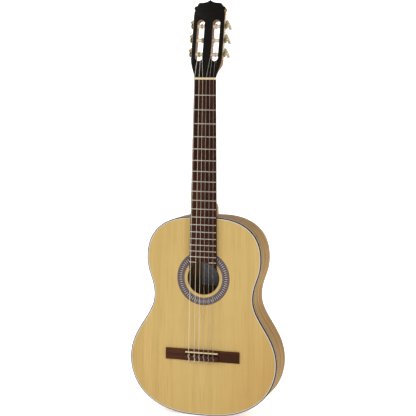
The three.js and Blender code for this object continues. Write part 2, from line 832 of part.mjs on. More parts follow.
function buildNeck() {
  piece("neck", neck(), mahogany);
  piece("head_plate", headPlate(), ebonised, headFrame);
  piece("heel_cap", heelCap(), darkWood);
  piece("fingerboard", fingerboard(), rosewood);
  piece("nut", nut(), bone);
  piece("bridge", bridge(), rosewood);
  piece("saddle", saddle(), bone);
}

// ---- machine heads ------------------------------------------------------------------------

// Machine heads are drawn for the treble side in the head's frame; the bass side is turned over.
const PLATE_X = HEAD.half + GAP;
const GEAR_X = PLATE_X + SIDE_PLATE.thick + 1.8;
const WORM_X = GEAR_X + GEAR.thick / 2;

function sidePlate(sign) {
  const { low, high, thick, front, back } = SIDE_PLATE;
  const end = 9;
  const middle = (front + back) / 2;
  const outer = PLATE_X + thick;
  const shape = new THREE.Shape();
  shape.moveTo(front, low + end);
  shape.lineTo(front, high - end);
  shape.quadraticCurveTo(front + 1.5, high - 2, middle, high);
  shape.quadraticCurveTo(back - 1.5, high - 2, back, high - end);
  shape.lineTo(back, low + end);
  shape.quadraticCurveTo(back - 1.5, low + 2, middle, low);
  shape.quadraticCurveTo(front + 1.5, low + 2, front, low + end);
  let made = profile(shape, PLATE_X, outer);
  const holes = [];
  for (const s of rollerPlaces()) {
    const wormS = s + TUNER.offset;
    const lugX = [PLATE_X + 0.2, PLATE_X + LUG.out];
    const lugS = [wormS - LUG.half, wormS + LUG.half];
    for (const y of [LUG.front, LUG.back]) {
      made = made.add(block(lugX, [y, y + LUG.thick], lugS));
    }
    holes.push(pinY(LUG.front - 1, LUG.back + 3, WORM_X, wormS, WORM.shaft + FIT, 8));
    holes.push(pinX(PLATE_X - 1, outer + 1, TUNER.depth, s, ROLLER.spindle + FIT, 8));
  }
  return turned(sign, cut(made, ...holes));
}

// The bass side is the treble side mirrored.
function turned(sign, shape) {
  return sign > 0 ? shape : shape.mirror([1, 0, 0]);
}

// A roller with the spindle that carries the gear.
function roller() {
  const reach = GEAR_X + GEAR.thick;
  const drum = pinX(ROLLER.inner, HEAD.half - 0.4, 0, 0, ROLLER.r, 14);
  return drum.add(pinX(HEAD.half - 1, reach, 0, 0, ROLLER.spindle, 8));
}

function gear() {
  const { tip, root, thick, bore } = GEAR;
  const step = (2 * Math.PI) / TUNER.teeth;
  const points = [];
  const corner = (r, a) => points.push(new THREE.Vector2(r * Math.sin(a), r * Math.cos(a)));
  for (let i = 0; i < TUNER.teeth; i++) {
    const a = i * step;
    corner(root, a - step * 0.22);
    corner(tip, a - step * 0.09);
    corner(tip, a + step * 0.09);
    corner(root, a + step * 0.22);
  }
  const hole = circle(0, 0, bore, 8);
  return profile(shapeOf(points, hole), GEAR_X, GEAR_X + thick);
}

// The worm shaft along Y: plain ends, and one thread that the gear's teeth run in.
function wormShaft() {
  const wheelPitchRadius = TUNER.offset - (WORM.root + WORM.tip) / 2;
  const lead = (2 * Math.PI * wheelPitchRadius) / TUNER.teeth;
  const plain = pinY(LUG.front - 1.6 - TUNER.depth, WORM.end - TUNER.depth, 0, 0, WORM.shaft, 8);
  const body = pinY(WORM.from - TUNER.depth, WORM.to - TUNER.depth, 0, 0, WORM.root, 8);
  const perTurn = 8;
  const turns = (WORM.to - WORM.from - 1.6) / lead;
  const steps = Math.round(turns * perTurn);
  const middle = (WORM.from + WORM.to) / 2 - TUNER.depth;
  const sections = [];
  for (let i = 0; i <= steps; i++) {
    const turn = (i - steps / 2) / perTurn;
    // Right-handed about +Y; halfway between two teeth where it faces the gear.
    const a = turn * 2 * Math.PI - Math.PI / 2;
    const out = new THREE.Vector3(Math.cos(a), 0, -Math.sin(a));
    const y = middle + turn * lead;
    const at = (r, dy) => out.clone().multiplyScalar(r).setY(y + dy);
    const inside = WORM.root - 0.4;
    sections.push([at(inside, -0.5), at(inside, 0.5), at(WORM.tip, 0.22), at(WORM.tip, -0.22)]);
  }
  return join(plain, body, loft(sections));
}

// A butterfly button, its stem down over the end of the worm shaft.
function button() {
  const { stem, from, waist, length, lobe, thick } = BUTTON;
  const outline = new THREE.Shape();
  const end = waist + length;
  outline.moveTo(-stem, waist - 1);
  outline.quadraticCurveTo(-stem - 0.6, waist + 3, -lobe + 2.4, waist + 2.2);
  outline.quadraticCurveTo(-lobe - 0.6, waist + 3.4, -lobe, waist + length * 0.55);
  outline.quadraticCurveTo(-lobe + 1.4, end - 0.6, -lobe * 0.45, end - 0.2);
  outline.quadraticCurveTo(0, end - 1.8, lobe * 0.45, end - 0.2);
  outline.quadraticCurveTo(lobe - 1.4, end - 0.6, lobe, waist + length * 0.55);
  outline.quadraticCurveTo(lobe + 0.6, waist + 3.4, lobe - 2.4, waist + 2.2);
  outline.quadraticCurveTo(stem + 0.6, waist + 3, stem, waist - 1);
  const options = { depth: thick, bevelEnabled: false, curveSegments: 3 };
  // The outline's X runs along the head and its Y runs backwards.
  const blade = new THREE.ExtrudeGeometry(outline, options).translate(0, 0, -thick / 2);
  blade.rotateY(Math.PI / 2);
  const stemPin = pinY(from, waist + 4, 0, 0, stem, 10);
  const socket = pinY(from - 1, WORM.end + GAP, 0, 0, WORM.shaft + GAP, 8);
  return cut(join(solid(blade), stemPin), socket);
}

function buildMachineHeads() {
  piece("tuner_plate_bass", sidePlate(-1), gold, headFrame);
  piece("tuner_plate_treble", sidePlate(1), gold, headFrame);
  for (let number = 1; number <= STRINGS; number++) {
    const sign = number > 3 ? -1 : 1;
    const s = rollerPlaces()[STRING_ROLLER[STRINGS - number]];
    const across = new THREE.Group();
    across.position.set(0, TUNER.depth, s);
    const key = new THREE.Group();
    key.position.set(sign * WORM_X, TUNER.depth, s + TUNER.offset);
    const grip = new THREE.Group();
    grip.position.set(sign * WORM_X, 0, s + TUNER.offset);
    grip.rotation.y = -BUTTON_TURN;
    headFrame.add(across, key, grip);
    piece(`string_roller_${number}`, turned(sign, roller()), nylonRoller, across);
    piece(`tuner_gear_${number}`, turned(sign, gear()), gold, across);
    piece(`worm_shaft_${number}`, wormShaft(), steel, key);
    piece(`tuner_button_${number}`, button(), pearl, grip);
  }
}

buildBody();
buildNeck();
buildStrings();
buildMachineHeads();

export default guitar;
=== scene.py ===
import math

import bmesh
import bpy
from mathutils import Matrix, Vector
from mathutils.geometry import tessellate_polygon


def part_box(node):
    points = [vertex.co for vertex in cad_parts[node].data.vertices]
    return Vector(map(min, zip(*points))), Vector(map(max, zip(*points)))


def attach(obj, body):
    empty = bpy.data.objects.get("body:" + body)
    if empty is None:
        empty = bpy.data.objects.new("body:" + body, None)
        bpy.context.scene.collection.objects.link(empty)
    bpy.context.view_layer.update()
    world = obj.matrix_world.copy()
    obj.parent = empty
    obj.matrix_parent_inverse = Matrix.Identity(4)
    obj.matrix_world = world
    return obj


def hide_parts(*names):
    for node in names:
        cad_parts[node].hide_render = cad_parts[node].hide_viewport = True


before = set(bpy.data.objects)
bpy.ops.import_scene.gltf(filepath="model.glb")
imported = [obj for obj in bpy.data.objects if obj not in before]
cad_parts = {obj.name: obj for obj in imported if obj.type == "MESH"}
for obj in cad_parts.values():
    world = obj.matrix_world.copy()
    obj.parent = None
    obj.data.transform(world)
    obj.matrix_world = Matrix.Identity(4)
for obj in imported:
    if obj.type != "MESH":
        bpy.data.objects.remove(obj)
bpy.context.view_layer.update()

MM = 0.001  # every shape below is drawn in millimetres and made in metres
V = Vector

# ---- sizes taken from the frame -------------------------------------------------------------


def low(node):
    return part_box(node)[0] / MM


def high(node):
    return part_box(node)[1] / MM


FRONT = low("soundboard").y
BOARD_TOP = high("soundboard").y - FRONT
NUT_LOW, NUT_HIGH = low("nut"), high("nut")
NUT_Z = NUT_LOW.z
SCALE_LENGTH = 650
BODY_TOP = high("binding_top").z
HOLE_Z = (low("rosette").z + high("rosette").z) / 2
HOLE_R = 39.8
BRIDGE_LOW, BRIDGE_HIGH = low("bridge"), high("bridge")
SADDLE_Z = (low("saddle").z + high("saddle").z) / 2
BACK_TAIL = high("back").y
TAPER = 10 / BODY_TOP  # the back comes forward by this much for each millimetre up
ARCH, ARCH_HALF = 4, 182.7
MOSAIC_INNER, MOSAIC_OUTER = 51.6, 60.6
STRING_RADIUS = {6: 0.56, 5: 0.46, 4: 0.38, 3: 0.51, 2: 0.42, 1: 0.36}

HEAD_ANGLE = math.radians(12.2)
HEAD_ORIGIN = V((0, FRONT - 6, NUT_Z + 4))
HEAD = Matrix.Translation(HEAD_ORIGIN) @ Matrix.Rotation(-HEAD_ANGLE, 4, "X")
ROLLER_S = (57.7, 91.7, 125.7)  # rollers along the head from the nut
ROLLER_OF = {6: 0, 5: 1, 4: 2, 3: 2, 2: 1, 1: 0}
ROLLER_DEPTH, ROLLER_R = 8, 5
WORM_UP = 8
SLOT_X, SLOT_LOW, SLOT_HIGH, SLOT_HALF = 19, 41.3, 140, 9
HEAD_THICK = 19
HEAD_HALF, HEAD_ROOT_HALF = 37.5, 26.8


# ---- camera, lights and stage ---------------------------------------------------------------


def place_camera():
    azimuth, elevation, roll = (math.radians(a) for a in (16.27, 5.53, 0.64))
    distance = 2935
    shift_right, shift_up = 5.9, -302
    back = V((
        math.sin(azimuth) * math.cos(elevation),
        -math.cos(azimuth) * math.cos(elevation),
        math.sin(elevation),
    ))
    level = V((math.cos(azimuth), math.sin(azimuth), 0))
    upright = back.cross(level)
    right = math.cos(roll) * level + math.sin(roll) * upright
    up = -math.sin(roll) * level + math.cos(roll) * upright
    place = V((0, FRONT, NUT_Z)) + back * distance + right * shift_right + up * shift_up
    data = bpy.data.cameras.new("camera")
    data.sensor_width = 36
    data.lens = 108
    data.clip_end = 50
    camera = bpy.data.objects.new("camera", data)
    rotation = Matrix((right, up, back)).transposed().to_4x4()
    camera.matrix_world = Matrix.Translation(place * MM) @ rotation
    bpy.context.scene.collection.objects.link(camera)
    bpy.context.scene.camera = camera


def area_light(name, place, target, size, power, color=(1, 1, 1)):
    data = bpy.data.lights.new(name, "AREA")
    data.shape = "SQUARE"
    data.size = size
    data.energy = power
    data.color = color
    light = bpy.data.objects.new(name, data)
    aim = (V(target) - V(place)).to_track_quat("-Z", "Y")
    light.matrix_world = Matrix.Translation(V(place)) @ aim.to_matrix().to_4x4()
    bpy.context.scene.collection.objects.link(light)


def light_studio():
    scene = bpy.context.scene
    scene.view_settings.view_transform = "Standard"
    world = bpy.data.worlds.new("studio")
    world.use_nodes = True
    world.node_tree.nodes["Background"].inputs["Color"].default_value = (1, 1, 1, 1)
    world.node_tree.nodes["Background"].inputs["Strength"].default_value = 0.42
    scene.world = world
    middle = (0, 0, 0.5)
    area_light("key", (-2.4, -2.0, 2.4), middle, 1.4, 46)
    area_light("fill", (2.6, -1.6, 1.0), middle, 1.4, 22)
    area_light("rim", (1.8, 1.4, 1.8), middle, 1.2, 14)


def build_stage():
    """A floor that curves up into a backdrop, all one pale sheet."""
    wall, reach, bend, tall = 2.2, 4.5, 0.9, 4.5
    profile = [(-4.0, 0.0), (wall - bend, 0.0)]
    for i in range(1, 13):
        a = i * math.pi / 24
        profile.append((wall - bend + bend * math.sin(a), bend - bend * math.cos(a)))
    profile.append((wall, tall))
    drop = -0.0005
    verts = [(x, y, z + drop) for y, z in profile for x in (-reach, reach)]
    faces = [(2 * i, 2 * i + 1, 2 * i + 3, 2 * i + 2) for i in range(len(profile) - 1)]
    data = bpy.data.meshes.new("backdrop")
    data.from_pydata(verts, [], faces)
    for polygon in data.polygons:
        polygon.use_smooth = True
    paint = bpy.data.materials.new("backdrop")
    paint.use_nodes = True
    shader = paint.node_tree.nodes["Principled BSDF"]
    shader.inputs["Base Color"].default_value = (0.93, 0.93, 0.93, 1)
    shader.inputs["Roughness"].default_value = 0.9
    shader.inputs["Emission Color"].default_value = (1, 1, 1, 1)
    shader.inputs["Emission Strength"].default_value = 0.55
    data.materials.append(paint)
    backdrop = bpy.data.objects.new("backdrop", data)
    bpy.context.scene.collection.objects.link(backdrop)


place_camera()
light_studio()
build_stage()

# ---- materials ------------------------------------------------------------------------------


class Paint:
    """A material under construction: nodes are added and linked by short calls."""

    def __init__(self, name, **sockets):
        self.material = bpy.data.materials.new(name)
        self.material.use_nodes = True
        self.tree = self.material.node_tree
        self.shader = self.tree.nodes["Principled BSDF"]
        self.shader.inputs["Specular IOR Level"].default_value = 0.18
        for socket, value in sockets.items():
            self.shader.inputs[socket.replace("_", " ").title()].default_value = value

    def node(self, kind, **settings):
        made = self.tree.nodes.new("ShaderNode" + kind)
        for key, value in settings.items():
            setattr(made, key, value)
        return made

    def link(self, source, target):
        self.tree.links.new(source, target)

    def coords(self, scale=(1, 1, 1), kind="Object"):
        place = self.node("TexCoord").outputs[kind]
        mapping = self.node("Mapping")
        mapping.inputs["Scale"].default_value = scale
        self.link(place, mapping.inputs["Vector"])
        return mapping.outputs["Vector"]

    def noise(self, vector, scale, detail=4, roughness=0.6, distortion=0):
        made = self.node("TexNoise")
        made.inputs["Scale"].default_value = scale
        made.inputs["Detail"].default_value = detail
        made.inputs["Roughness"].default_value = roughness
        made.inputs["Distortion"].default_value = distortion
        self.link(vector, made.inputs["Vector"])
        return made.outputs["Fac"]

    def wave(self, vector, scale, distortion, axis="X", detail=2):
        made = self.node("TexWave", bands_direction=axis, wave_type="BANDS")
        made.inputs["Scale"].default_value = scale
        made.inputs["Distortion"].default_value = distortion
        made.inputs["Detail"].default_value = detail
        made.inputs["Detail Scale"].default_value = 1.5
        self.link(vector, made.inputs["Vector"])
        return made.outputs["Fac"]

    def math(self, operation, a, b=0.5, c=0.5):
        made = self.node("Math", operation=operation)
        for socket, value in zip(made.inputs, (a, b, c)):
            if isinstance(value, (int, float)):
                socket.default_value = value
            else:
                self.link(value, socket)
        return made.outputs[0]

    def ramp(self, factor, *stops):
        made = self.node("ValToRGB")
        elements = made.color_ramp.elements
        while len(elements) < len(stops):
            elements.new(0.5)
        for element, (position, color) in zip(elements, stops):
            element.position = position
            element.color = (*color, 1) if len(color) == 3 else color
        self.link(factor, made.inputs["Fac"])
        return made.outputs["Color"]

    def mix(self, factor, a, b, blend="MIX"):
        made = self.node("Mix", data_type="RGBA", blend_type=blend)
        for index, value in ((0, factor), (6, a), (7, b)):
            socket = made.inputs[index]
            if isinstance(value, (int, float)):
                socket.default_value = value
            elif isinstance(value, tuple):
                socket.default_value = (*value, 1)
            else:
                self.link(value, socket)
        return made.outputs[2]

    def finish(self, color=None, roughness=None, bump=None, strength=0.1, depth=0.0002):
        if color is not None:
            self.link(color, self.shader.inputs["Base Color"])
        if roughness is not None:
            self.link(roughness, self.shader.inputs["Roughness"])
        if bump is not None:
            made = self.node("Bump")
            made.inputs["Strength"].default_value = strength
            made.inputs["Distance"].default_value = depth
            self.link(bump, made.inputs["Height"])
            self.link(made.outputs["Normal"], self.shader.inputs["Normal"])
        return self.material

    def split(self):
        """The outputs X, Y and Z of the piece's own coordinates."""
        place = self.node("SeparateXYZ")
        self.link(self.node("TexCoord").outputs["Object"], place.inputs[0])
        return place.outputs

    def fade(self, factor, start, end, most):
        """Black up to start, and grey of strength most from end on."""
        return self.ramp(factor, (start, (0, 0, 0)), (end, (most, most, most)))

    def spread(self, factor, least, most):
        made = self.node("MapRange")
        made.inputs["To Min"].default_value = least
        made.inputs["To Max"].default_value = most
        self.link(factor, made.inputs["Value"])
        return made.outputs["Result"]


def coat(paint, weight, roughness):
    paint.shader.inputs["Coat Weight"].default_value = weight
    paint.shader.inputs["Coat Roughness"].default_value = roughness


def spruce_paint():
    """Straight, close annual rings along the strings, bookmatched on the middle line."""
    p = Paint("spruce", roughness=0.42)
    coat(p, 0.06, 0.12)
    place = p.split()
    folded = p.node("CombineXYZ")
    p.link(p.math("ABSOLUTE", place["X"]), folded.inputs["X"])
    p.link(p.math("MULTIPLY", place["Z"], 0.02), folded.inputs["Z"])
    book = folded.outputs[0]
    rings = p.noise(book, 520, 2, 0.5)
    bands = p.noise(book, 75, 3, 0.6)
    wide = p.noise(book, 18, 2, 0.5)
    fibre = p.noise(p.coords((1, 1, 0.035)), 900, 5, 0.7)
    cloud = p.noise(p.coords((1, 1, 0.45)), 7, 3)
    flame = p.noise(p.coords((0.3, 1, 1)), 60, 3)
    light, dark = (0.615, 0.418, 0.145), (0.455, 0.275, 0.078)
    base = p.ramp(rings, (0.3, light), (0.52, light), (0.68, dark))
    base = p.mix(p.fade(bands, 0.42, 0.72, 0.75), base, (0.45, 0.285, 0.082))
    base = p.mix(p.fade(wide, 0.35, 0.75, 0.5), base, (0.48, 0.31, 0.094))
    base = p.mix(p.fade(cloud, 0.4, 0.75, 0.6), base, (0.47, 0.30, 0.086))
    base = p.mix(p.spread(fibre, 0, 0.25), base, (0.68, 0.52, 0.22))
    base = p.mix(p.spread(flame, 0, 0.2), base, (0.64, 0.49, 0.19))
    # painted shade: the top is darkened and browned toward the lower bout and out to its edges, more on the treble
    # side
    below = p.math("MULTIPLY", p.math("SUBTRACT", 0.3, place["Z"]), 5)
    aside = p.math("ADD", p.math("ABSOLUTE", place["X"]), p.math("MULTIPLY", place["X"], 0.25))
    aside = p.math("MULTIPLY", p.math("SUBTRACT", aside, 0.04), 7)
    painted_shade = p.math("MULTIPLY", p.math("MINIMUM", p.math("MAXIMUM", below, 0), 1),
                  p.math("MINIMUM", p.math("MAXIMUM", aside, 0), 1))
    base = p.mix(p.math("MULTIPLY", painted_shade, 0.9), base, (0.88, 0.80, 0.72), "MULTIPLY")
    return p.finish(base, p.spread(fibre, 0.36, 0.5), fibre, 0.06)


def plain_wood(name, light, dark, pore, rough=0.5, shine=0.1, axis="Z", uv=False):
    """Brown wood whose fibres run along one axis, or along U of the mesh's own map."""
    p = Paint(name, roughness=rough)
    p.shader.inputs["Specular IOR Level"].default_value = shine
    along = 0.045
    kind = "UV" if uv else "Object"
    stretch = (along, 1, 1) if uv or axis == "X" else (1, 1, along)
    wood = p.coords(stretch, kind=kind)
    soft = p.coords(tuple(0.5 if s == along else 1 for s in stretch), kind=kind)
    bands = p.wave(wood, 22, 9, "Y" if uv else "X", 3)
    fibre = p.noise(wood, 800, 6, 0.75)
    patch = p.noise(soft, 14, 4, 0.6, 0.6)
    streak = p.noise(wood, 120, 4, 0.65)
    base = p.ramp(bands, (0.15, light), (0.9, dark))
    base = p.mix(p.fade(streak, 0.42, 0.62, 0.8), base, dark)
    base = p.mix(p.spread(patch, 0, 0.5), base, light)
    pores = p.ramp(fibre, (0.0, (1, 1, 1)), (0.36, (1, 1, 1)), (0.46, (0, 0, 0)), (1.0, (0, 0, 0)))
    base = p.mix(p.math("MULTIPLY", pores, 0.55), base, pore)
    return p.finish(base, p.spread(fibre, rough - 0.08, rough + 0.1), fibre, 0.12)


def lacquer_paint(name, color, rough=0.3, speck=0.012):
    """Dark, nearly even stained wood under gloss, with faint grain."""
    p = Paint(name, roughness=rough)
    p.shader.inputs["Specular IOR Level"].default_value = 0.07
    grain = p.noise(p.coords((1, 1, 0.05)), 700, 5, 0.7)
    lifted = tuple(c + speck for c in color)
    base = p.ramp(grain, (0.3, color), (0.75, lifted))
    return p.finish(base, p.spread(grain, rough - 0.06, rough + 0.08), grain, 0.08)


def mosaic_paint():
    """Light rungs round the soundhole with a pale square and a dark cross between each two."""
    p = Paint("rosette_mosaic", roughness=0.4)
    coat(p, 0.1, 0.12)
    place = p.split()
    x = place["X"]
    z = p.math("SUBTRACT", place["Z"], HOLE_Z * MM)
    radius = p.math("SQRT", p.math("ADD", p.math("MULTIPLY", x, x), p.math("MULTIPLY", z, z)))
    angle = p.math("ARCTAN2", z, x)
    rungs, columns, rows = 68, 6, 7
    tile = (MOSAIC_OUTER - MOSAIC_INNER) / rows * MM
    turn = p.math("ADD", p.math("MULTIPLY", angle, rungs * columns / math.tau), rungs * columns)
    column = p.math("MODULO", p.math("FLOOR", turn), columns)
    row = p.math("FLOOR", p.math("DIVIDE", p.math("SUBTRACT", radius, MOSAIC_INNER * MM), tile))
    aside = p.math("ABSOLUTE", p.math("SUBTRACT", column, (columns - 1) / 2))
    up = p.math("ABSOLUTE", p.math("SUBTRACT", row, rows // 2))
    rung = p.math("GREATER_THAN", aside, 2)
    heart = p.math("LESS_THAN", p.math("ADD", aside, up), 1.6)
    wander = p.noise(p.coords(), 900, 3)
    pale, dark = (0.50, 0.42, 0.37), (0.008, 0.006, 0.007)
    grey, heart_grey = (0.12, 0.095, 0.105), (0.10, 0.08, 0.075)
    tiles = p.mix(rung, dark, pale)
    tiles = p.mix(heart, tiles, heart_grey)
    rim = p.math("GREATER_THAN", up, 2.5)
    tiles = p.mix(p.math("MULTIPLY", rim, 0.8), tiles, grey)
    tiles = p.mix(p.spread(wander, 0, 0.15), tiles, grey)
    return p.finish(tiles, None, wander, 0.08)


def ring_paint(name, color, dark):
    p = Paint(name, roughness=0.4)
    coat(p, 0.1, 0.12)
    grain = p.noise(p.coords(), 700, 4, 0.7)
    return p.finish(p.ramp(grain, (0.3, color), (0.8, dark)), None, grain, 0.06)


def metal_paint(name, color, dark, rough, scratches=0.1, metallic=1.0):
    p = Paint(name, roughness=rough, metallic=metallic)
    wear = p.noise(p.coords(), 90, 4, 0.6)
    brushed = p.noise(p.coords((1, 1, 0.1)), 1600, 3)
    base = p.mix(p.spread(wear, 0, 0.9), color, dark)
    return p.finish(base, p.spread(brushed, rough - 0.08, rough + 0.14), brushed, scratches)


def bone_paint(name, color, dark, rough=0.32):
    p = Paint(name, roughness=rough)
    coat(p, 0.3, 0.15)
    p.shader.inputs["Subsurface Weight"].default_value = 0.08
    p.shader.inputs["Subsurface Scale"].default_value = 0.002
    streak = p.noise(p.coords((0.25, 1, 1)), 420, 4, 0.6)
    return p.finish(p.ramp(streak, (0.3, color), (0.75, dark)), p.spread(streak, rough - 0.05, rough + 0.1),
                    streak, 0.05)


def pearl_paint():
    """Cream pearl: soft clouds folded over one another."""
    p = Paint("pearl", roughness=0.22)
    coat(p, 0.15, 0.08)
    p.shader.inputs["Subsurface Weight"].default_value = 0.1
    p.shader.inputs["Subsurface Scale"].default_value = 0.003
    swirl = p.noise(p.coords((1, 1.6, 0.8)), 150, 3, 0.55, 2.4)
    layer = p.wave(p.coords(), 40, 14, "Z", 3)
    base = p.ramp(swirl, (0.3, (0.56, 0.50, 0.37)), (0.55, (0.42, 0.36, 0.25)), (0.75, (0.72, 0.67, 0.54)))
    base = p.mix(p.spread(layer, 0, 0.3), base, (0.74, 0.69, 0.56))
    return p.finish(base, p.spread(swirl, 0.15, 0.32), swirl, 0.04)


def nylon_paint(name, clear):
    p = Paint(name, roughness=0.28)
    p.shader.inputs["IOR"].default_value = 1.4
    p.shader.inputs["Transmission Weight"].default_value = clear
    cloud = p.noise(p.coords((1, 1, 0.1)), 500, 3)
    return p.finish(p.ramp(cloud, (0.2, (0.72, 0.67, 0.60)), (0.9, (0.62, 0.56, 0.49))), None, cloud, 0.03)


def wound_paint():
    """Fine wire wound round the core, drawn by a tight band along the string whose dark part is painted shade in the
    grooves between the turns.
    """
    p = Paint("wound_wire", roughness=0.32, metallic=0.4)
    turns = p.wave(p.coords(), 900, 0.2, "Z", 1)
    tarnish = p.noise(p.coords((1, 1, 0.3)), 60, 4)
    # painted shade: the colour is darkened in the grooves between the turns of wire
    base = p.mix(p.spread(turns, 0, 0.35), (0.80, 0.74, 0.63), (0.42, 0.36, 0.27))
    base = p.mix(p.spread(tarnish, 0, 0.25), base, (0.58, 0.49, 0.34))
    return p.finish(base, None, turns, 0.35, 0.00008)


def label_paint():
    """Grey-white paper with a plain printed frame and a few ruled lines."""
    p = Paint("label_paper", roughness=0.85)
    place = p.split()
    fibre = p.noise(p.coords(), 1200, 5, 0.7)
    base = p.ramp(fibre, (0.3, (0.50, 0.49, 0.52)), (0.8, (0.40, 0.39, 0.42)))
    box_low, box_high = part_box("label")
    middle, half = (box_low.z + box_high.z) / 2, (box_high.z - box_low.z) / 2
    side = p.math("SUBTRACT", box_high.x, p.math("ABSOLUTE", place["X"]))
    end = p.math("SUBTRACT", half, p.math("ABSOLUTE", p.math("SUBTRACT", place["Z"], middle)))
    edge = p.math("MINIMUM", side, end)
    frame_line = p.math("COMPARE", edge, 4 * MM, 0.5 * MM)
    height = p.math("SUBTRACT", place["Z"], box_low.z)
    rule = p.math("LESS_THAN", p.math("MODULO", height, 9 * MM), 0.5 * MM)
    inside = p.math("GREATER_THAN", edge, 10 * MM)
    below = p.math("LESS_THAN", height, 46 * MM)
    ink = p.math("MAXIMUM", frame_line, p.math("MULTIPLY", p.math("MULTIPLY", rule, inside), below))
    return p.finish(p.mix(p.math("MULTIPLY", ink, 0.8), base, (0.05, 0.05, 0.06)), None, fibre, 0.15)


SPRUCE = spruce_paint()
RIBS = plain_wood("rib_wood", (0.40, 0.245, 0.09), (0.17, 0.092, 0.030), (0.09, 0.045, 0.018),
                  shine=0.02, uv=True)
BACKWOOD = plain_wood("back_wood", (0.36, 0.215, 0.085), (0.22, 0.118, 0.042), (0.10, 0.05, 0.02))
NECKWOOD = plain_wood("neck_wood", (0.36, 0.19, 0.085), (0.26, 0.125, 0.05), (0.13, 0.06, 0.025), shine=0.04)
ROSEWOOD = plain_wood("rosewood", (0.072, 0.024, 0.013), (0.013, 0.007, 0.005), (0.007, 0.004, 0.003),
                      shine=0.03)
BRIDGEWOOD = plain_wood("bridge_rosewood", (0.085, 0.029, 0.014), (0.028, 0.010, 0.005),
                        (0.010, 0.005, 0.003), rough=0.45, shine=0.06, axis="X")
RAW_COLORS = (0.58, 0.42, 0.25), (0.46, 0.31, 0.16), (0.32, 0.20, 0.10)
RAWWOOD = plain_wood("raw_wood", *RAW_COLORS, rough=0.75)
BARWOOD = plain_wood("bar_wood", *RAW_COLORS, rough=0.75, axis="X")
BLACK = lacquer_paint("black_veneer", (0.0055, 0.004, 0.0028), 0.38, 0.004)
BINDING = lacquer_paint("binding_wood", (0.014, 0.010, 0.010), 0.3, 0.01)
LIGHTLINE = ring_paint("light_line", (0.72, 0.60, 0.40), (0.62, 0.48, 0.30))
PURFLING = ring_paint("pale_purfling", (0.86, 0.85, 0.84), (0.76, 0.74, 0.72))
DARKLINE = ring_paint("dark_line", (0.035, 0.028, 0.032), (0.06, 0.048, 0.052))
GREYLINE = ring_paint("grey_line", (0.155, 0.125, 0.14), (0.115, 0.09, 0.105))
MOSAIC = mosaic_paint()
PAPER = label_paint()
BONE = bone_paint("bone", (0.80, 0.68, 0.42), (0.66, 0.52, 0.28))
ROLLERPLASTIC = bone_paint("roller_plastic", (0.86, 0.76, 0.56), (0.76, 0.65, 0.44), 0.38)
GOLD = metal_paint("gold", (0.40, 0.30, 0.11), (0.22, 0.15, 0.045), 0.28)
PLATEGOLD = metal_paint("plate_gold", (0.60, 0.53, 0.39), (0.46, 0.39, 0.26), 0.45, metallic=0.7)
FRETWIRE = metal_paint("fret_wire", (0.64, 0.60, 0.50), (0.48, 0.44, 0.36), 0.28, 0.05)
PEARL = pearl_paint()
NYLON = nylon_paint("clear_nylon", 0.72)
NYLON_TURNS = nylon_paint("clear_nylon_turns", 0.15)
WOUND = wound_paint()
BRONZE_TURNS = metal_paint("bronze_turns", (0.50, 0.38, 0.18), (0.34, 0.24, 0.10), 0.35, metallic=0.8)

# ---- mesh helpers ---------------------------------------------------------------------------


def put(name, verts, faces, material, slot, replaces=(), body="root", place=None, crease=32, uv=None):
    """Makes a closed mesh into a piece of the object: smooth, with sharp edges over the crease angle."""
    data = bpy.data.meshes.new(name)
    matrix = place or Matrix.Identity(4)
    data.from_pydata([(matrix @ V(v)) * MM for v in verts], [], faces)
    if uv:
        layer = data.uv_layers.new(name="UVMap")
        for loop in data.loops:
            layer.data[loop.index].uv = uv[loop.vertex_index]
    return dress(data, name, material, slot, replaces, body, crease)


def dress(data, name, material, slot, replaces=(), body="root", crease=32):
    work = bmesh.new()
    work.from_mesh(data)
    bmesh.ops.remove_doubles(work, verts=work.verts, dist=1e-7)
    bmesh.ops.dissolve_degenerate(work, edges=work.edges, dist=1e-8)
    bmesh.ops.recalc_face_normals(work, faces=work.faces)
    limit = math.radians(crease)
    for face in work.faces:
        face.smooth = True
    for edge in work.edges:
        edge.smooth = len(edge.link_faces) == 2 and edge.calc_face_angle(0) < limit
    work.to_mesh(data)
    work.free()
    data.materials.clear()
    data.materials.append(material)
    piece = bpy.data.objects.new(name, data)
    bpy.context.scene.collection.objects.link(piece)
    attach(piece, body)
    if replaces:
        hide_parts(*replaces)
    return piece


def grid_faces(rows, count):
    faces = []
    for r in range(rows - 1):
        for i in range(count):
            j = (i + 1) % count
            faces.append((r * count + i, r * count + j, (r + 1) * count + j, (r + 1) * count + i))
    return faces


def turn_round(steps):
    """The angles of a whole turn in equal steps."""
    return (k * math.tau / steps for k in range(steps))


def half_turn(steps):
    """The angles of half a turn, both ends included."""
    return (i * math.pi / steps for i in range(steps + 1))


def loft(sections):
    """Verts and faces of a closed skin through sections of equal length."""
    count = len(sections[0])
    last = (len(sections) - 1) * count
    verts = [v for section in sections for v in section]
    faces = grid_faces(len(sections), count)
    faces.append(tuple(reversed(range(count))))
    faces.append(tuple(range(last, last + count)))
    return verts, faces


def tube(points, radius, sides):
    """A round tube along points, its section carried along without twisting."""
    points = [V(p) for p in points]
    sections = []
    side = None
    for i, point in enumerate(points):
        along = (points[min(i + 1, len(points) - 1)] - points[max(i - 1, 0)]).normalized()
        if side is None:
            side = along.orthogonal().normalized()
        side = (side - along * side.dot(along)).normalized()
        up = along.cross(side)
        sections.append([point + radius * (math.cos(a) * side + math.sin(a) * up) for a in turn_round(sides)])
    return loft(sections)


def soften(points, radius, steps=4):
    """Rounds the inner corners of a polyline."""
    points = [V(p) for p in points]
    result = [points[0]]
    for before, corner, after in zip(points, points[1:], points[2:]):
        reach = min(radius, (before - corner).length / 2, (after - corner).length / 2)
        start = corner + (before - corner).normalized() * reach
        end = corner + (after - corner).normalized() * reach
        for i in range(steps + 1):
            t = i / steps
            result.append((1 - t) ** 2 * start + 2 * t * (1 - t) * corner + t * t * end)
    result.append(points[-1])
    return result


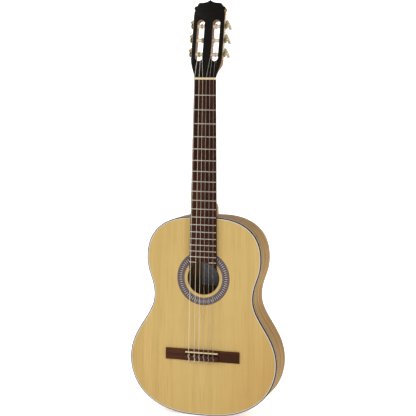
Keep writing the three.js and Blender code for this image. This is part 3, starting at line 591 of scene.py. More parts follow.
def spline(points, steps):
    """A smooth curve through points (Catmull-Rom)."""
    points = [V(p) for p in points]
    padded = [2 * points[0] - points[1], *points, 2 * points[-1] - points[-2]]
    result = []
    for a, b, c, d in zip(padded, padded[1:], padded[2:], padded[3:]):
        for i in range(steps):
            t = i / steps
            result.append(0.5 * ((2 * b) + (c - a) * t + (2 * a - 5 * b + 4 * c - d) * t * t
                                 + (3 * b - a - 3 * c + d) * t ** 3))
    result.append(points[-1])
    return result


def lathe(profile, axis_from, axis_to, sides=24):
    """Turns (distance along, radius) pairs round the line between two points."""
    start, along = V(axis_from), (V(axis_to) - V(axis_from)).normalized()
    side = along.orthogonal().normalized()
    up = along.cross(side)
    sections = []
    for distance, radius in profile:
        r = max(radius, 0.001)
        sections.append([start + along * distance + r * (math.cos(a) * side + math.sin(a) * up)
                         for a in turn_round(sides)])
    return loft(sections)


def lathe_ring(profile, axis_from, axis_to, sides):
    """A lathe whose closed profile goes round a hole, so its last row joins its first."""
    verts, faces = lathe(profile, axis_from, axis_to, sides)
    last = (len(profile) - 1) * sides
    joint = [(last + i, last + (i + 1) % sides, (i + 1) % sides, i) for i in range(sides)]
    return verts, faces[:-2] + joint


def inset(points, distance):
    """A closed outline of 2-D points, counter-clockwise, moved inwards."""
    result = []
    count = len(points)
    for i in range(count):
        a, b, c = V(points[i - 1]), V(points[i]), V(points[(i + 1) % count])
        one, two = (b - a).normalized(), (c - b).normalized()
        n1, n2 = V((-one.y, one.x)), V((-two.y, two.x))
        n = (n1 + n2).normalized()
        result.append(b + n * distance / max(0.5, n.dot(n1)))
    return result


def round_edge(near, far, radius, steps):
    """(depth, inset) pairs of a slab whose two edges are rounded."""
    rows = []
    for i in range(steps + 1):
        a = i * math.pi / 2 / steps
        rows.append((near + radius * (1 - math.cos(a)), radius * (1 - math.sin(a))))
    return rows + [(near + far - depth, shrink) for depth, shrink in reversed(rows)]


def slab(outline, near, far, radius=0.3, steps=2, holes=(), lift=None):
    """A flat solid between two depths, its outline in X and Z, with rounded edges and holes.

    outline and holes are functions of how far the edge is moved into the material."""
    lift = lift or (lambda x, z, depth: V((x, depth, z)))
    rows = round_edge(near, far, radius, steps)
    verts, faces, ends = [], [], ([], [])
    for edge in (outline, *holes):
        count = len(edge(0))
        base = len(verts)
        for depth, shrink in rows:
            verts += [lift(p[0], p[1], depth) for p in edge(shrink)]
        faces += [tuple(base + i for i in face) for face in grid_faces(len(rows), count)]
        ends[0].append((base, edge(rows[0][1])))
        ends[1].append((base + (len(rows) - 1) * count, edge(rows[-1][1])))
    for loops in ends:
        numbers = [base + i for base, points in loops for i in range(len(points))]
        flat = [[V((p[0], p[1], 0)) for p in points] for _, points in loops]
        faces += [tuple(numbers[i] for i in face) for face in tessellate_polygon(flat)]
    return verts, faces


def ring_of(radius, steps, x=0, z=0, grow=1):
    """A circle as a function of how far its edge is moved; grow is 1 for a hole and -1 for a disc."""
    def points(shift):
        r = radius + grow * shift
        return [V((x + r * math.cos(a), z + r * math.sin(a))) for a in turn_round(steps)]
    return points


def bezier(a, b, c, d, steps):
    points = []
    for i in range(steps):
        t = i / steps
        u = 1 - t
        points.append(u ** 3 * V(a) + 3 * u * u * t * V(b) + 3 * u * t * t * V(c) + t ** 3 * V(d))
    return points


def quadratic(a, b, c, steps):
    return [(1 - i / steps) ** 2 * V(a) + 2 * (i / steps) * (1 - i / steps) * V(b) + (i / steps) ** 2 * V(c)
            for i in range(steps)]


def mirrored(right):
    left = [V((-p.x, p.y)) for p in reversed(right)]
    return right + [p for p in left if abs(p.x) > 1e-4]


BOX_FACES = [(0, 2, 3, 1), (4, 5, 7, 6), (0, 1, 5, 4), (2, 6, 7, 3), (0, 4, 6, 2), (1, 3, 7, 5)]


def boxed(x, y, z):
    return [(i, j, k) for k in z for j in y for i in x], BOX_FACES


def counter_clockwise(points):
    """The same closed outline, run so that its inside is on the left."""
    twice_area = sum(a.x * b.y - b.x * a.y for a, b in zip(points, points[1:] + points[:1]))
    return points if twice_area >= 0 else points[::-1]


def raw(verts, faces, place=None):
    """A plain mesh datablock for booleans, facing out."""
    data = bpy.data.meshes.new("raw")
    matrix = place or Matrix.Identity(4)
    data.from_pydata([(matrix @ V(v)) * MM for v in verts], [], faces)
    work = bmesh.new()
    work.from_mesh(data)
    bmesh.ops.recalc_face_normals(work, faces=work.faces)
    work.to_mesh(data)
    work.free()
    return data


def combine(base, cuts=(), joins=()):
    """Joins meshes to a base, cuts others out of it, and returns the new mesh."""
    scene = bpy.context.scene.collection
    main = bpy.data.objects.new("work", base)
    scene.objects.link(main)
    helpers = []
    for operation, meshes in (("UNION", joins), ("DIFFERENCE", cuts)):
        for mesh in meshes:
            helper = bpy.data.objects.new("helper", mesh)
            scene.objects.link(helper)
            helpers.append(helper)
            step = main.modifiers.new("step", "BOOLEAN")
            step.operation = operation
            step.solver = "MANIFOLD"
            step.object = helper
    bpy.context.view_layer.update()
    graph = bpy.context.evaluated_depsgraph_get()
    result = bpy.data.meshes.new_from_object(main.evaluated_get(graph))
    for thing in (main, *helpers):
        bpy.data.objects.remove(thing)
    return result


# ---- body -----------------------------------------------------------------------------------

OUTLINE_STEPS = 22


def body_half():
    """Points of the treble half of the outline, from tail to neck."""
    tail, lower, waist = V((12, 0)), V((182.7, 133)), V((122.8, 288))
    upper, top = V((141.5, 382)), V((28, BODY_TOP))
    curves = [
        (tail, V((140, 0)), V((182.7, 73)), lower),
        (lower, V((182.7, 204)), V((122.8, 238)), waist),
        (waist, V((122.8, 328)), V((141.5, 339)), upper),
        (upper, V((141.5, 461)), V((78, BODY_TOP)), top),
    ]
    points = []
    for curve in curves:
        points += bezier(*curve, OUTLINE_STEPS)
    return points + [top]


def with_normals(points):
    result = []
    for i, point in enumerate(points):
        along = (points[min(i + 1, len(points) - 1)] - points[max(i - 1, 0)]).normalized()
        result.append((point, V((-along.y, along.x))))
    result[0] = (points[0], V((0, 1)))
    result[-1] = (points[-1], V((0, -1)))
    return result


HALF = with_normals(body_half())


def body_outline(shrink):
    return mirrored([point + inward * shrink for point, inward in HALF])


def back_y(x, z, inside=0):
    return BACK_TAIL - ARCH * (x / ARCH_HALF) ** 2 - TAPER * z - inside


def sweep(section, name, material, slot, replaces, path=None, closed=True):
    """Sweeps a section of (inset, y) pairs, which may depend on the place, round the outline."""
    path = path or HALF
    rows = list(path)
    if closed:
        rows += [(V((-p.x, p.y)), V((-n.x, n.y))) for p, n in reversed(path)]
    verts, uv, length = [], [], 0
    for i, (point, inward) in enumerate(rows):
        length += (point - rows[i - 1][0]).length if i else 0
        for shrink, y in section(point):
            edge = point + inward * shrink
            verts.append(V((edge.x, y, edge.y)))
            uv.append((length * MM, y * MM))
    count = len(section(rows[0][0]))
    faces = grid_faces(len(rows), count)
    last = (len(rows) - 1) * count
    if closed:
        faces += [(last + i, last + (i + 1) % count, (i + 1) % count, i) for i in range(count)]
    else:
        faces += [tuple(reversed(range(count))), tuple(range(last, last + count))]
    return put(name, verts, faces, material, slot, replaces, uv=uv)


BINDING_W, BINDING_H = 2.4, 6
EDGE_R = 1.3


def corner(radius, steps=4):
    return [(radius * (1 - math.cos(a)), radius * (1 - math.sin(a)))
            for a in (i * math.pi / 2 / steps for i in range(steps + 1))]


def build_bindings():
    def front(point):
        rows = [(shrink, FRONT + deep) for shrink, deep in corner(EDGE_R)]
        return [(0, FRONT + BINDING_H), *rows, (BINDING_W, FRONT), (BINDING_W, FRONT + BINDING_H)]

    def rear(point):
        y = back_y(point.x, point.y)
        rows = [(shrink, y - deep) for shrink, deep in corner(EDGE_R)]
        return [(0, y - BINDING_H), *rows, (BINDING_W, y - 0.05), (BINDING_W, y - BINDING_H)]

    def line(start, end, place, up=0.02, deep=1.2):
        def section(point):
            y = FRONT - up if place == "front" else back_y(point.x, point.y) + up
            inner = y + deep if place == "front" else y - deep
            return [(start, inner), (start, y), (end, y), (end, inner)]
        return section

    sweep(front, "binding_top_wood", BINDING, "binding", ["binding_top"])
    sweep(rear, "binding_back_wood", RIBS, "body_wood", ["binding_back"])
    sweep(line(BINDING_W, 3.4, "front"), "purfling_top", PURFLING, "binding", ())
    sweep(line(BINDING_W, 2.95, "back"), "purfling_back_light", LIGHTLINE, "binding", ())
    for name, y0 in (("purfling_side_top", lambda p: FRONT + BINDING_H),
                     ("purfling_side_back", lambda p: back_y(p.x, p.y) - BINDING_H - 0.6)):
        sweep(lambda p, y0=y0: [(-0.01, y0(p) + 0.6), (-0.01, y0(p)), (1.2, y0(p)), (1.2, y0(p) + 0.6)],
              name, LIGHTLINE, "binding", ())


def build_sides():
    thick = 2.2
    graft = 12

    def wall(point):
        near, far = FRONT + BINDING_H + 0.6, back_y(point.x, point.y) - BINDING_H - 0.6
        middle = (near + far) / 2
        return [(0, near), (0, middle), (0, far), (thick, far), (thick, middle), (thick, near)]

    start = [(V((graft + 0.05, 0)), V((0, 1)))]
    end = [(V((0.05, BODY_TOP)), V((0, -1)))]
    right = start + HALF[1:] + end
    left = [(V((-p.x, p.y)), V((-n.x, n.y))) for p, n in reversed(right)]
    sweep(wall, "rib_treble", RIBS, "body_wood", ["side_treble"], right, False)
    sweep(wall, "rib_bass", RIBS, "body_wood", ["side_bass"], left, False)
    flat = [(V((x, 0)), V((0, 1))) for x in (-graft + 0.5, -4, 4, graft - 0.5)]
    sweep(wall, "tail_graft", BINDING, "binding", ["end_graft"], flat, False)
    for sign in (-1, 1):
        edge = [(V((x, 0)), V((0, 1))) for x in sorted((sign * (graft - 0.5), sign * (graft + 0.05)))]
        def strip(point):
            rows = wall(point)
            return [(-0.01, y) if shrink == 0 else (shrink, y) for shrink, y in rows]
        name = "tail_line_treble" if sign > 0 else "tail_line_bass"
        sweep(strip, name, LIGHTLINE, "binding", (), edge, False)


def build_soundboard():
    """The top, with the groove that the rosette lies in and the rounded edge of the soundhole."""
    steps = 120
    back = FRONT + BOARD_TOP
    groove = FRONT + 1.4
    outer, inner = 65.02, 46.98
    rim = 0.5

    def loop(points, y):
        start = len(verts)
        verts.extend(V((p.x, y, p.y)) for p in points)
        return start, points

    def circle(radius):
        return ring_of(radius, steps, 0, HOLE_Z)(0)

    verts, faces = [], []

    def band(a, b):
        count = len(a[1])
        for i in range(count):
            j = (i + 1) % count
            faces.append((a[0] + i, a[0] + j, b[0] + j, b[0] + i))

    def cap(*loops):
        numbers = [start + i for start, points in loops for i in range(len(points))]
        flat = [[V((p.x, p.y, 0)) for p in points] for _, points in loops]
        faces.extend(tuple(numbers[i] for i in face) for face in tessellate_polygon(flat))

    edge = body_outline(3.4)
    front_edge, back_edge = loop(edge, FRONT), loop(edge, back)
    band(front_edge, back_edge)
    rows = [loop(circle(outer), FRONT), loop(circle(outer), groove), loop(circle(inner), groove),
            loop(circle(inner), FRONT)]
    rows += [loop(circle(HOLE_R + rim - shift), FRONT + deep)
             for deep, shift in ((rim * (1 - math.cos(a)), rim * math.sin(a))
                                 for a in (i * math.pi / 8 for i in range(5)))]
    rows.append(loop(circle(HOLE_R), back))
    for a, b in zip(rows, rows[1:]):
        band(a, b)
    cap(front_edge, rows[0])
    cap(back_edge, rows[-1])
    put("spruce_top", verts, faces, SPRUCE, "top_wood", ["soundboard"])


def annulus(name, inner, outer, material, replaces=()):
    edge = ring_of(outer, 120, 0, HOLE_Z, -1)
    hole = ring_of(inner, 120, 0, HOLE_Z)
    verts, faces = slab(edge, FRONT - 0.02, FRONT + 1.2, 0.02, 1, [hole])
    put(name, verts, faces, material, "rosette_mosaic", replaces)


def build_rosette():
    annulus("rosette_mosaic_ring", MOSAIC_INNER, MOSAIC_OUTER, MOSAIC, ["rosette"])
    rings = [
        ("rosette_inner_dark", 47.0, 47.8, DARKLINE),
        ("rosette_inner_grey", 47.8, 50.6, GREYLINE),
        ("rosette_inner_line", 50.6, MOSAIC_INNER, DARKLINE),
        ("rosette_outer_line", MOSAIC_OUTER, 61.2, DARKLINE),
        ("rosette_outer_grey", 61.2, 63.6, GREYLINE),
        ("rosette_outer_dark", 63.6, 65.0, DARKLINE),
    ]
    for name, inner, outer, material in rings:
        annulus(name, inner, outer, material)


def build_back():
    """The arched back in one piece, with a strip down the middle where its two bookmatched halves meet."""
    rings = 9
    thick = 2.5
    centre = V((0, 288))
    edge = body_outline(2.95)
    verts, faces = [], []
    for inside in (0, thick):
        base = len(verts)
        for r in range(rings):
            share = 1 - r / rings
            for p in edge:
                q = centre + (p - centre) * share
                verts.append(V((q.x, back_y(q.x, q.y, inside), q.y)))
        faces += [tuple(base + i for i in face) for face in grid_faces(rings, len(edge))]
        verts.append(V((0, back_y(0, centre.y, inside), centre.y)))
        last = base + (rings - 1) * len(edge)
        tip = len(verts) - 1
        faces += [(last + i, last + (i + 1) % len(edge), tip) for i in range(len(edge))]
        if inside:
            faces += [(i, (i + 1) % len(edge), base + (i + 1) % len(edge), base + i)
                      for i in range(len(edge))]
    put("arched_back", verts, faces, BACKWOOD, "body_wood", ["back"], crease=50)
    rows = 24
    strips = [("back_line_dark", 2.2, BINDING, 0.012), ("back_line_bass", None, LIGHTLINE, 0.014),
              ("back_line_treble", None, LIGHTLINE, 0.014)]
    for name, half, material, up in strips:
        x = (-half, half) if half else ((-2.8, -2.2) if "bass" in name else (2.2, 2.8))
        sections = []
        for i in range(rows + 1):
            z = 3.2 + (BODY_TOP - 6.4) * i / rows
            sections.append([V((x[0], back_y(0, z) + up, z)), V((x[1], back_y(0, z) + up, z)),
                             V((x[1], back_y(0, z) - 1, z)), V((x[0], back_y(0, z) - 1, z))])
        put(name, *loft(sections), material, "binding")


# ---- neck and head --------------------------------------------------------------------------

NUT_HALF, JOIN_HALF = 26.3, 31.6
HEEL_DEPTH = 87.1
HEEL_TAPER = 1 - 11.5 / JOIN_HALF


def neck_half(z):
    return NUT_HALF + (JOIN_HALF - NUT_HALF) * (NUT_Z - z) / (SCALE_LENGTH / 2)


def neck_section(z, half, front, depth, boxy, taper, steps=14):
    """A half ellipse that turns into the heel's blunt wedge as it gets boxier."""
    right = []
    for i in range(steps + 1):
        a = i * math.pi / 2 / steps
        y = depth * math.sin(a)
        width = half * (1 - taper * min(1, y / 90))
        right.append((width * (math.cos(a) * (1 - boxy) + boxy), front + y))
    ring = right + [(-x, y) for x, y in reversed(right)]
    return [V((x, y, z)) for x, y in ring]


def neck_shaft():
    start = BODY_TOP + 0.1
    cap_top, heel_start = 507, NUT_Z - 258
    steps = 18
    sections = [neck_section(start, neck_half(start), FRONT, HEEL_DEPTH, 0.97, HEEL_TAPER),
                neck_section(cap_top - 8, neck_half(start), FRONT, HEEL_DEPTH, 0.92, HEEL_TAPER)]
    for i in range(steps, -1, -1):
        a = i * math.pi / 2 / steps
        z = heel_start - (heel_start - cap_top) * math.sin(a)
        depth = 17.5 + (HEEL_DEPTH - 17.5) * (1 - math.cos(a))
        boxy = 0.04 + 0.6 * (1 - math.cos(a))
        sections.append(neck_section(z, neck_half(z), FRONT, depth, boxy, HEEL_TAPER))
    for i in range(1, 9):
        z = heel_start + (NUT_HIGH.z - heel_start) * i / 8
        depth = 17.5 + (15 - 17.5) * i / 8
        sections.append(neck_section(z, max(neck_half(z), NUT_HALF), FRONT, depth, 0.04, HEEL_TAPER))
    return loft(sections)


def head_half(detail):
    """The treble half of the head's outline, from the nut to the point of the crest."""
    half, root_half = HEAD_HALF, HEAD_ROOT_HALF
    root = bezier((root_half, 0), (root_half, 12), (half, 28), (half, 46), 4 * detail)
    crest = [((half, 158), (35.8, 160.5), (36, 163)), ((36, 163), (38.6, 165.5), (37.8, 169)),
             ((37.8, 169), (37.2, 172.4), (33.6, 172.6)),
             ((33.6, 172.6), (32, 173), (30.6, 173.2)), ((30.6, 173.2), (30, 176.4), (28.9, 178.2)),
             ((28.9, 178.2), (27.6, 180.8), (24.5, 181)), ((24.5, 181), (12, 181.2), (7.6, 183.2)),
             ((7.6, 183.2), (4, 184.8), (0, 188.2))]
    points = root + [V((half, 46)), V((half, 110))]
    for a, b, c in crest:
        points += quadratic(a, b, c, detail)
    return points + [V((0, 188.2))]


def head_outline(start, detail=5):
    points = head_half(detail)
    kept = [p for p in points if p.y > start + 0.5]
    at = next(p for p in head_half(40) if p.y >= start)
    return mirrored([V((at.x, start)), *kept])


def stadium(sign, steps=14):
    def points(shift):
        r = SLOT_HALF + shift
        lower = [V((sign * SLOT_X + r * math.cos(a), SLOT_LOW + SLOT_HALF + r * math.sin(a)))
                 for a in (math.pi + i * math.pi / steps for i in range(steps + 1))]
        upper = [V((sign * SLOT_X + r * math.cos(a), SLOT_HIGH - SLOT_HALF + r * math.sin(a)))
                 for a in half_turn(steps)]
        return lower + upper
    return points


def slot_cutter(sign, near, far, flare=0.5):
    """A slot's own shape, opening out a little at both faces of the head."""
    sections = []
    for depth, shift in ((near - 1, flare), (near, flare), (near + flare, 0), (far - flare, 0),
                         (far, flare), (far + 1, flare)):
        sections.append([V((p.x, depth, p.y)) for p in stadium(sign)(shift)])
    return raw(*loft(sections), HEAD)


def ramp_cutter(sign, grow=0.0):
    """The scoop below a slot that lets the strings run down to the rollers."""
    sections = []
    middle = sign * SLOT_X
    rows = ((24, -0.2, 7.0), (28, 0.55, 7.9), (34, 1.9, 8.4), (42, 3.6, 8.6), (50, 5.4, 8.6))
    for s, deepest, width in rows:
        depth, half = deepest + grow, width + grow
        ring = []
        for a in half_turn(10):
            y = depth * min(1, 1.15 * math.sin(a)) if depth > 0 else depth
            ring.append(V((middle + half * math.cos(a), y, s)))
        ring += [V((middle - half, -3, s)), V((middle + half, -3, s))]
        sections.append(ring)
    return raw(*loft(sections), HEAD)


def roller_hole(sign, s):
    x = (5.3, 40) if sign > 0 else (-40, -5.3)
    return raw(*lathe([(0, 5.3), (x[1] - x[0], 5.3)], (x[0], ROLLER_DEPTH, s), (x[1], ROLLER_DEPTH, s)), HEAD)


def build_neck():
    front, back = 2.02, HEAD_THICK
    root = []
    for i in range(13):
        s = -6 + 40 * i / 12
        share = i / 12
        half = next((p.x for p in head_half(40) if p.y >= s), HEAD_ROOT_HALF)
        root.append(neck_section(s, half, front, back - front, max(0.06, share * share * (3 - 2 * share)), 0))
    edge = head_outline(33.5)
    flat = slab(lambda shift: inset(edge, shift), front, back, 0.6, 2)
    head = combine(raw(*loft(root), HEAD), joins=[raw(*flat, HEAD)])
    cuts = [slot_cutter(sign, 0, back) for sign in (-1, 1)] + [ramp_cutter(sign) for sign in (-1, 1)]
    cuts += [roller_hole(sign, s) for sign in (-1, 1) for s in ROLLER_S]
    cuts.append(raw(*boxed((-60, 60), (FRONT - 60, FRONT), (NUT_Z - 60, NUT_HIGH.z + 0.1))))
    head = combine(head, cuts=cuts)
    whole = combine(raw(*neck_shaft()), joins=[head])
    dress(whole, "neck_wood", NECKWOOD, "neck_wood", ["neck"], crease=30)


def build_head_plate():
    start = (NUT_HIGH.z + 0.1 - HEAD_ORIGIN.z + 2 * math.sin(HEAD_ANGLE)) / math.cos(HEAD_ANGLE)
    edge = head_outline(start)
    verts, faces = slab(lambda shift: inset(edge, shift), 0, 2, 0.35, 3)
    cuts = [slot_cutter(sign, 0, 30, 0.4) for sign in (-1, 1)] + [ramp_cutter(sign) for sign in (-1, 1)]
    plate = combine(raw(verts, faces, HEAD), cuts=cuts)
    dress(plate, "head_veneer", BLACK, "black_veneer", ["head_plate"], crease=30)
    for sign in (-1, 1):
        name = "ramp_stain_treble" if sign > 0 else "ramp_stain_bass"
        above = raw(*boxed((-60, 60), (-20, 0.4), (0, 80)), HEAD)
        outside = [ramp_cutter(sign, -0.05), slot_cutter(sign, 0, 30, 0.0), above]
        stain = combine(ramp_cutter(sign, 0.3), cuts=outside)
        dress(stain, name, BLACK, "black_veneer", crease=30)


def build_heel_cap():
    lowest, highest = low("heel_cap"), high("heel_cap")
    half, base, top = highest.x, lowest.z, highest.z
    right = [V((half, base + 0.01))] + quadratic((half * 0.92, top - 12), (half * 0.8, top - 1), (0, top), 10)
    outline = mirrored(right + [V((0, top))])
    verts, faces = slab(lambda shift: inset(outline, shift), lowest.y - 0.2, highest.y, 0.7, 3)
    put("heel_cap_wood", verts, faces, BINDING, "binding", ["heel_cap"])


def fret_z(number):
    return NUT_Z - SCALE_LENGTH * (1 - 2 ** (-number / 12))


def build_fingerboard():
    top, bottom = FRONT - 6.8, FRONT - 0.05
    radius = 39.6
    near = NUT_Z - 0.05
    reach = neck_half(HOLE_Z + 24)
    end = math.acos(reach / radius)
    arc = [V((radius * math.cos(a), HOLE_Z + radius * math.sin(a)))
           for a in (end + i * (math.pi - 2 * end) / 24 for i in range(25))]
    outline = [V((neck_half(near), near)), V((-neck_half(near), near)), *reversed(arc)]
    verts, faces = slab(lambda shift: inset(outline, shift), top, bottom, 0.45, 3)
    put("fingerboard_wood", verts, faces, ROSEWOOD, "rosewood", ["fingerboard"])
    for number in range(1, 20):
        z = fret_z(number)
        half = neck_half(z) - 0.1
        spans = [("", -half, half)]
        if number == 19:
            spans = [("_bass", -half, -16), ("_treble", 16, half)]
        for suffix, left, right in spans:
            build_fret(f"fret_{number:02d}{suffix}", left, right, z, top)


def build_fret(name, left, right, z, top):
    """A fret wire: a low round crown with rounded ends."""
    width, tall = 1.15, 0.98
    sections = []
    for x, share in ((left, 0.55), (left + 0.35, 0.85), (left + 0.9, 1), (right - 0.9, 1),
                     (right - 0.35, 0.85), (right, 0.55)):
        arc = [V((x, top + 0.1 - tall * share * math.sin(a), z + width * math.cos(a)))
               for a in half_turn(10)]
        sections.append([*arc, V((x, top + 0.3, z - width)), V((x, top + 0.3, z + width))])
    put(name, *loft(sections), FRETWIRE, "steel", crease=60)


def string_x(number, spread):
    even = spread * ((6 - number) / 5 - 0.5)
    return even - 2.4 if number == 6 else even


NUT_SPREAD, SADDLE_SPREAD = 43.5, 58
NUT_SEAT, SADDLE_SEAT = 8.6, 12.0


def build_nut():
    top, bottom = NUT_LOW.y, FRONT - 0.02
    half = NUT_HIGH.x
    z0, z1 = NUT_Z + 0.02, NUT_HIGH.z - 0.02
    face = [V((bottom, z0)), V((top + 0.9, z0)), V((top + 0.25, z0 + 0.5)), V((top, z0 + 1.4)),
            V((top + 0.1, z0 + 2.6)), V((top + 0.7, z1 - 0.9)), V((top + 1.7, z1)), V((bottom, z1))]
    sections = []
    for x, shift in ((-half, 0.35), (-half + 0.35, 0), (half - 0.35, 0), (half, 0.35)):
        sections.append([V((x, p.x, p.y)) for p in inset(face, -shift)])
    cuts = []
    for number, r in STRING_RADIUS.items():
        x = string_x(number, NUT_SPREAD)
        y = FRONT - NUT_SEAT - r
        groove = [(x, y, z0 - 1), (x, y + 0.3, z1 + 1)]
        cuts.append(raw(*tube(groove, r + 0.04, 16)))
        cuts.append(raw(*boxed((x - r - 0.04, x + r + 0.04), (top - 2, y), (z0 - 1, z1 + 1))))
    nut = combine(raw(*loft(sections)), cuts=cuts)
    dress(nut, "nut_bone", BONE, "bone", ["nut"])


# ---- bridge and saddle ----------------------------------------------------------------------


def build_bridge():
    base = BRIDGE_LOW.z
    deep = BRIDGE_HIGH.z - base
    seat = FRONT - 0.05

    def at(x, height, z):
        return V((x, seat - height, base + z))

    def wing(x, tall, shrink):
        rows = [(0, shrink), (tall - 0.9, shrink), (tall - 0.25, shrink + 0.35), (tall, shrink + 1.2),
                (tall + 0.35, deep * 0.35), (tall + 0.35, deep * 0.65), (tall, deep - shrink - 1.2),
                (tall - 0.25, deep - shrink - 0.35), (tall - 0.9, deep - shrink), (0, deep - shrink)]
        return [at(x, height, z) for height, z in rows]

    def middle(x, drop):
        rows = [(0, 0), (4.2, 0), (8.3 - drop, 1.2), (9 - drop, 2.4), (9 - drop, 13.1), (8.6 - drop, 13.5),
                (3.6, 13.5), (3.6, 18.2), (7.2 - drop, 18.6), (7.6 - drop, 19.2), (7.6 - drop, deep - 3.4),
                (6.9 - drop, deep - 1.5), (4, deep), (0, deep)]
        return [at(x, max(0, height), z) for height, z in rows]

    half, tie = BRIDGE_HIGH.x, 41
    wings = [wing(x, tall, shrink) for x, tall, shrink in (
        (-half, 2.5, 0.5), (-half + 0.5, 3.1, 0), (-tie - 8, 3.1, 0), (-tie - 2, 3.3, 0), (tie + 2, 3.3, 0),
        (tie + 8, 3.1, 0), (half - 0.5, 3.1, 0), (half, 2.5, 0.5))]
    block = [middle(x, drop) for x, drop in ((-tie, 0.35), (-tie + 0.35, 0), (tie - 0.35, 0), (tie, 0.35))]
    z0, z1 = low("saddle").z - 0.05, high("saddle").z + 0.05
    cuts = [raw(*boxed((low("saddle").x - 0.1, high("saddle").x + 0.1), (seat - 30, seat - 2.4), (z0, z1)))]
    for number in STRING_RADIUS:
        x = string_x(number, SADDLE_SPREAD)
        hole = lathe([(0, 1.1), (22, 1.1)], (x, FRONT - 5, base - 4), (x, FRONT - 5, base + 18), 16)
        cuts.append(raw(*hole))
    bridge = combine(raw(*loft(wings)), joins=[raw(*loft(block))])
    bridge = combine(bridge, cuts=cuts)
    dress(bridge, "bridge_wood", BRIDGEWOOD, "rosewood", ["bridge"])


def build_saddle():
    lowest, highest = low("saddle"), high("saddle")
    half = (highest.z - lowest.z) / 2
    top = lowest.y
    face = [V((highest.y, -half)), V((top + 1.0, -half))]
    face += [V((top + 1.0 - 1.0 * math.sin(a), -half * math.cos(a)))
             for a in (i * math.pi / 8 for i in range(1, 8))]
    face += [V((top + 1.0, half)), V((highest.y, half))]
    sections = []
    for x, shift in ((lowest.x, 0.3), (lowest.x + 0.3, 0), (highest.x - 0.3, 0), (highest.x, 0.3)):
        sections.append([V((x, p.x, p.y + SADDLE_Z)) for p in inset(face, -shift)])
    put("saddle_bone", *loft(sections), BONE, "bone", ["saddle"])


# ---- strings --------------------------------------------------------------------------------

WIND_X = {6: -21.75, 5: -15.5, 4: -19, 3: 19, 2: 15.5, 1: 21.75}


def string_end(number):
    r = STRING_RADIUS[number]
    depth = ROLLER_DEPTH - ROLLER_R - r - 0.02
    return HEAD @ V((WIND_X[number], depth, ROLLER_S[ROLLER_OF[number]]))


def build_string(number):
    r = STRING_RADIUS[number]
    x, nut_x = string_x(number, SADDLE_SPREAD), string_x(number, NUT_SPREAD)
    base = BRIDGE_LOW.z

    def at(px, height, z):
        return V((px, FRONT - height - r, z))

    route = [
        at(x, 5 - r, base - 0.6),
        at(x, 5 - r, base + 14.6),
        at(x, SADDLE_SEAT - 0.1, SADDLE_Z - 1.3),
        at(x, SADDLE_SEAT + 0.02, SADDLE_Z),
        at(nut_x, NUT_SEAT + 0.02, NUT_Z + 0.6),
        at(nut_x, NUT_SEAT - 0.35, NUT_HIGH.z),
        string_end(number),
    ]
    metal = number > 3
    material, slot = (WOUND, "wound_wire") if metal else (NYLON, "nylon")
    put(f"string_{number}_length", *tube(soften(route, 0.9), r, 12), material, slot, [f"string_{number}"],
        crease=80)
    build_tie(number, x, r, base, material, slot)
    build_winding(number, r, BRONZE_TURNS if metal else NYLON_TURNS, slot)


def build_tie(number, x, r, base, material, slot):
    """Out of the hole, up over the block, round the string in front, and back under the loop.

    Each tail lies along the block's lower edge and under the next loop; the sixth string's hangs free."""
    top = 9.1 + r
    out = -0.9 - r

    def at(dx, height, z):
        return V((x - 0.5 + dx, FRONT - height, base + z))

    over = [
        at(0, 5, 0.3), at(0, 5.2, out), at(0.1, 7.4, out - 0.1), at(0.25, top - 0.1, 1.2), at(0.3, top, 4),
        at(0.3, top, 9), at(0.3, top - 0.1, 12.4), at(0.6, top - 1.4, 14.2 + r), at(0.1, 6.9, 15.1 + r),
        at(-1.3, 7.2, 15.0 + r), at(-1.9, top - 0.9, 13.6), at(-1.5, top + 0.1, 11.6),
        at(-0.2, top + 1.9 * r, 9.4), at(1.35, top + 0.2, 7.4), at(1.6, top, 5.0),
        at(0.9, top + 0.5 * r, 3.0),
        at(-0.3, top + 1.8 * r, 1.4), at(-0.9, top - 0.6, 0.1),
    ]
    if number == 6:
        over += [at(-1.6, 6.4, out - 0.2), at(-3.2, 3.4, out - 1.0), at(-4.6, 1.6 + r, out - 2.4),
                 at(-6.4, 0.6 + r, out - 3.0)]
    else:
        over += [at(-1.4, 7.3, out - 0.4), at(-2.6, 6.6, out - 0.9 - r), at(-4.8, 6.0, out - 0.9),
                 at(-8.0, 5.2, out - 0.7), at(-10.8, 4.6, out - 0.7)]
    put(f"string_{number}_tie", *tube(spline(over, 5), r, 8), material, slot, crease=80)


def build_winding(number, r, material, slot):
    """The turns of string on the roller, which turn with it."""
    s = ROLLER_S[ROLLER_OF[number]]
    x = WIND_X[number]
    way = 1 if x > 0 else -1
    turns = 3.4 if number > 3 else 4.2
    steps = 26
    radius = ROLLER_R + r + 0.02
    pitch = 2 * r + 0.08
    points = []
    for i in range(int(turns * steps) + 1):
        a = i * math.tau / steps
        shift = way * pitch * min(a / math.tau, turns - 0.6)
        lift = radius - (0 if i < (turns - 0.3) * steps else 0.5 * r)
        points.append(V((x - shift, ROLLER_DEPTH - lift * math.cos(a), s + lift * math.sin(a))))
    put(f"string_{number}_turns", *tube(points, r, 10), material, slot, body=f"roller_{number}", place=HEAD,
        crease=80)


# ---- machine heads --------------------------------------------------------------------------

PLATE_X = 37.55
PLATE_T = 1.3
WORM_X = 42.3
GEAR_LOW, GEAR_HIGH = 40.8, 43.8


def on_side(sign):
    """The head's frame, turned over for the bass side."""
    return HEAD if sign > 0 else HEAD @ Matrix.Scale(-1, 4, V((1, 0, 0)))


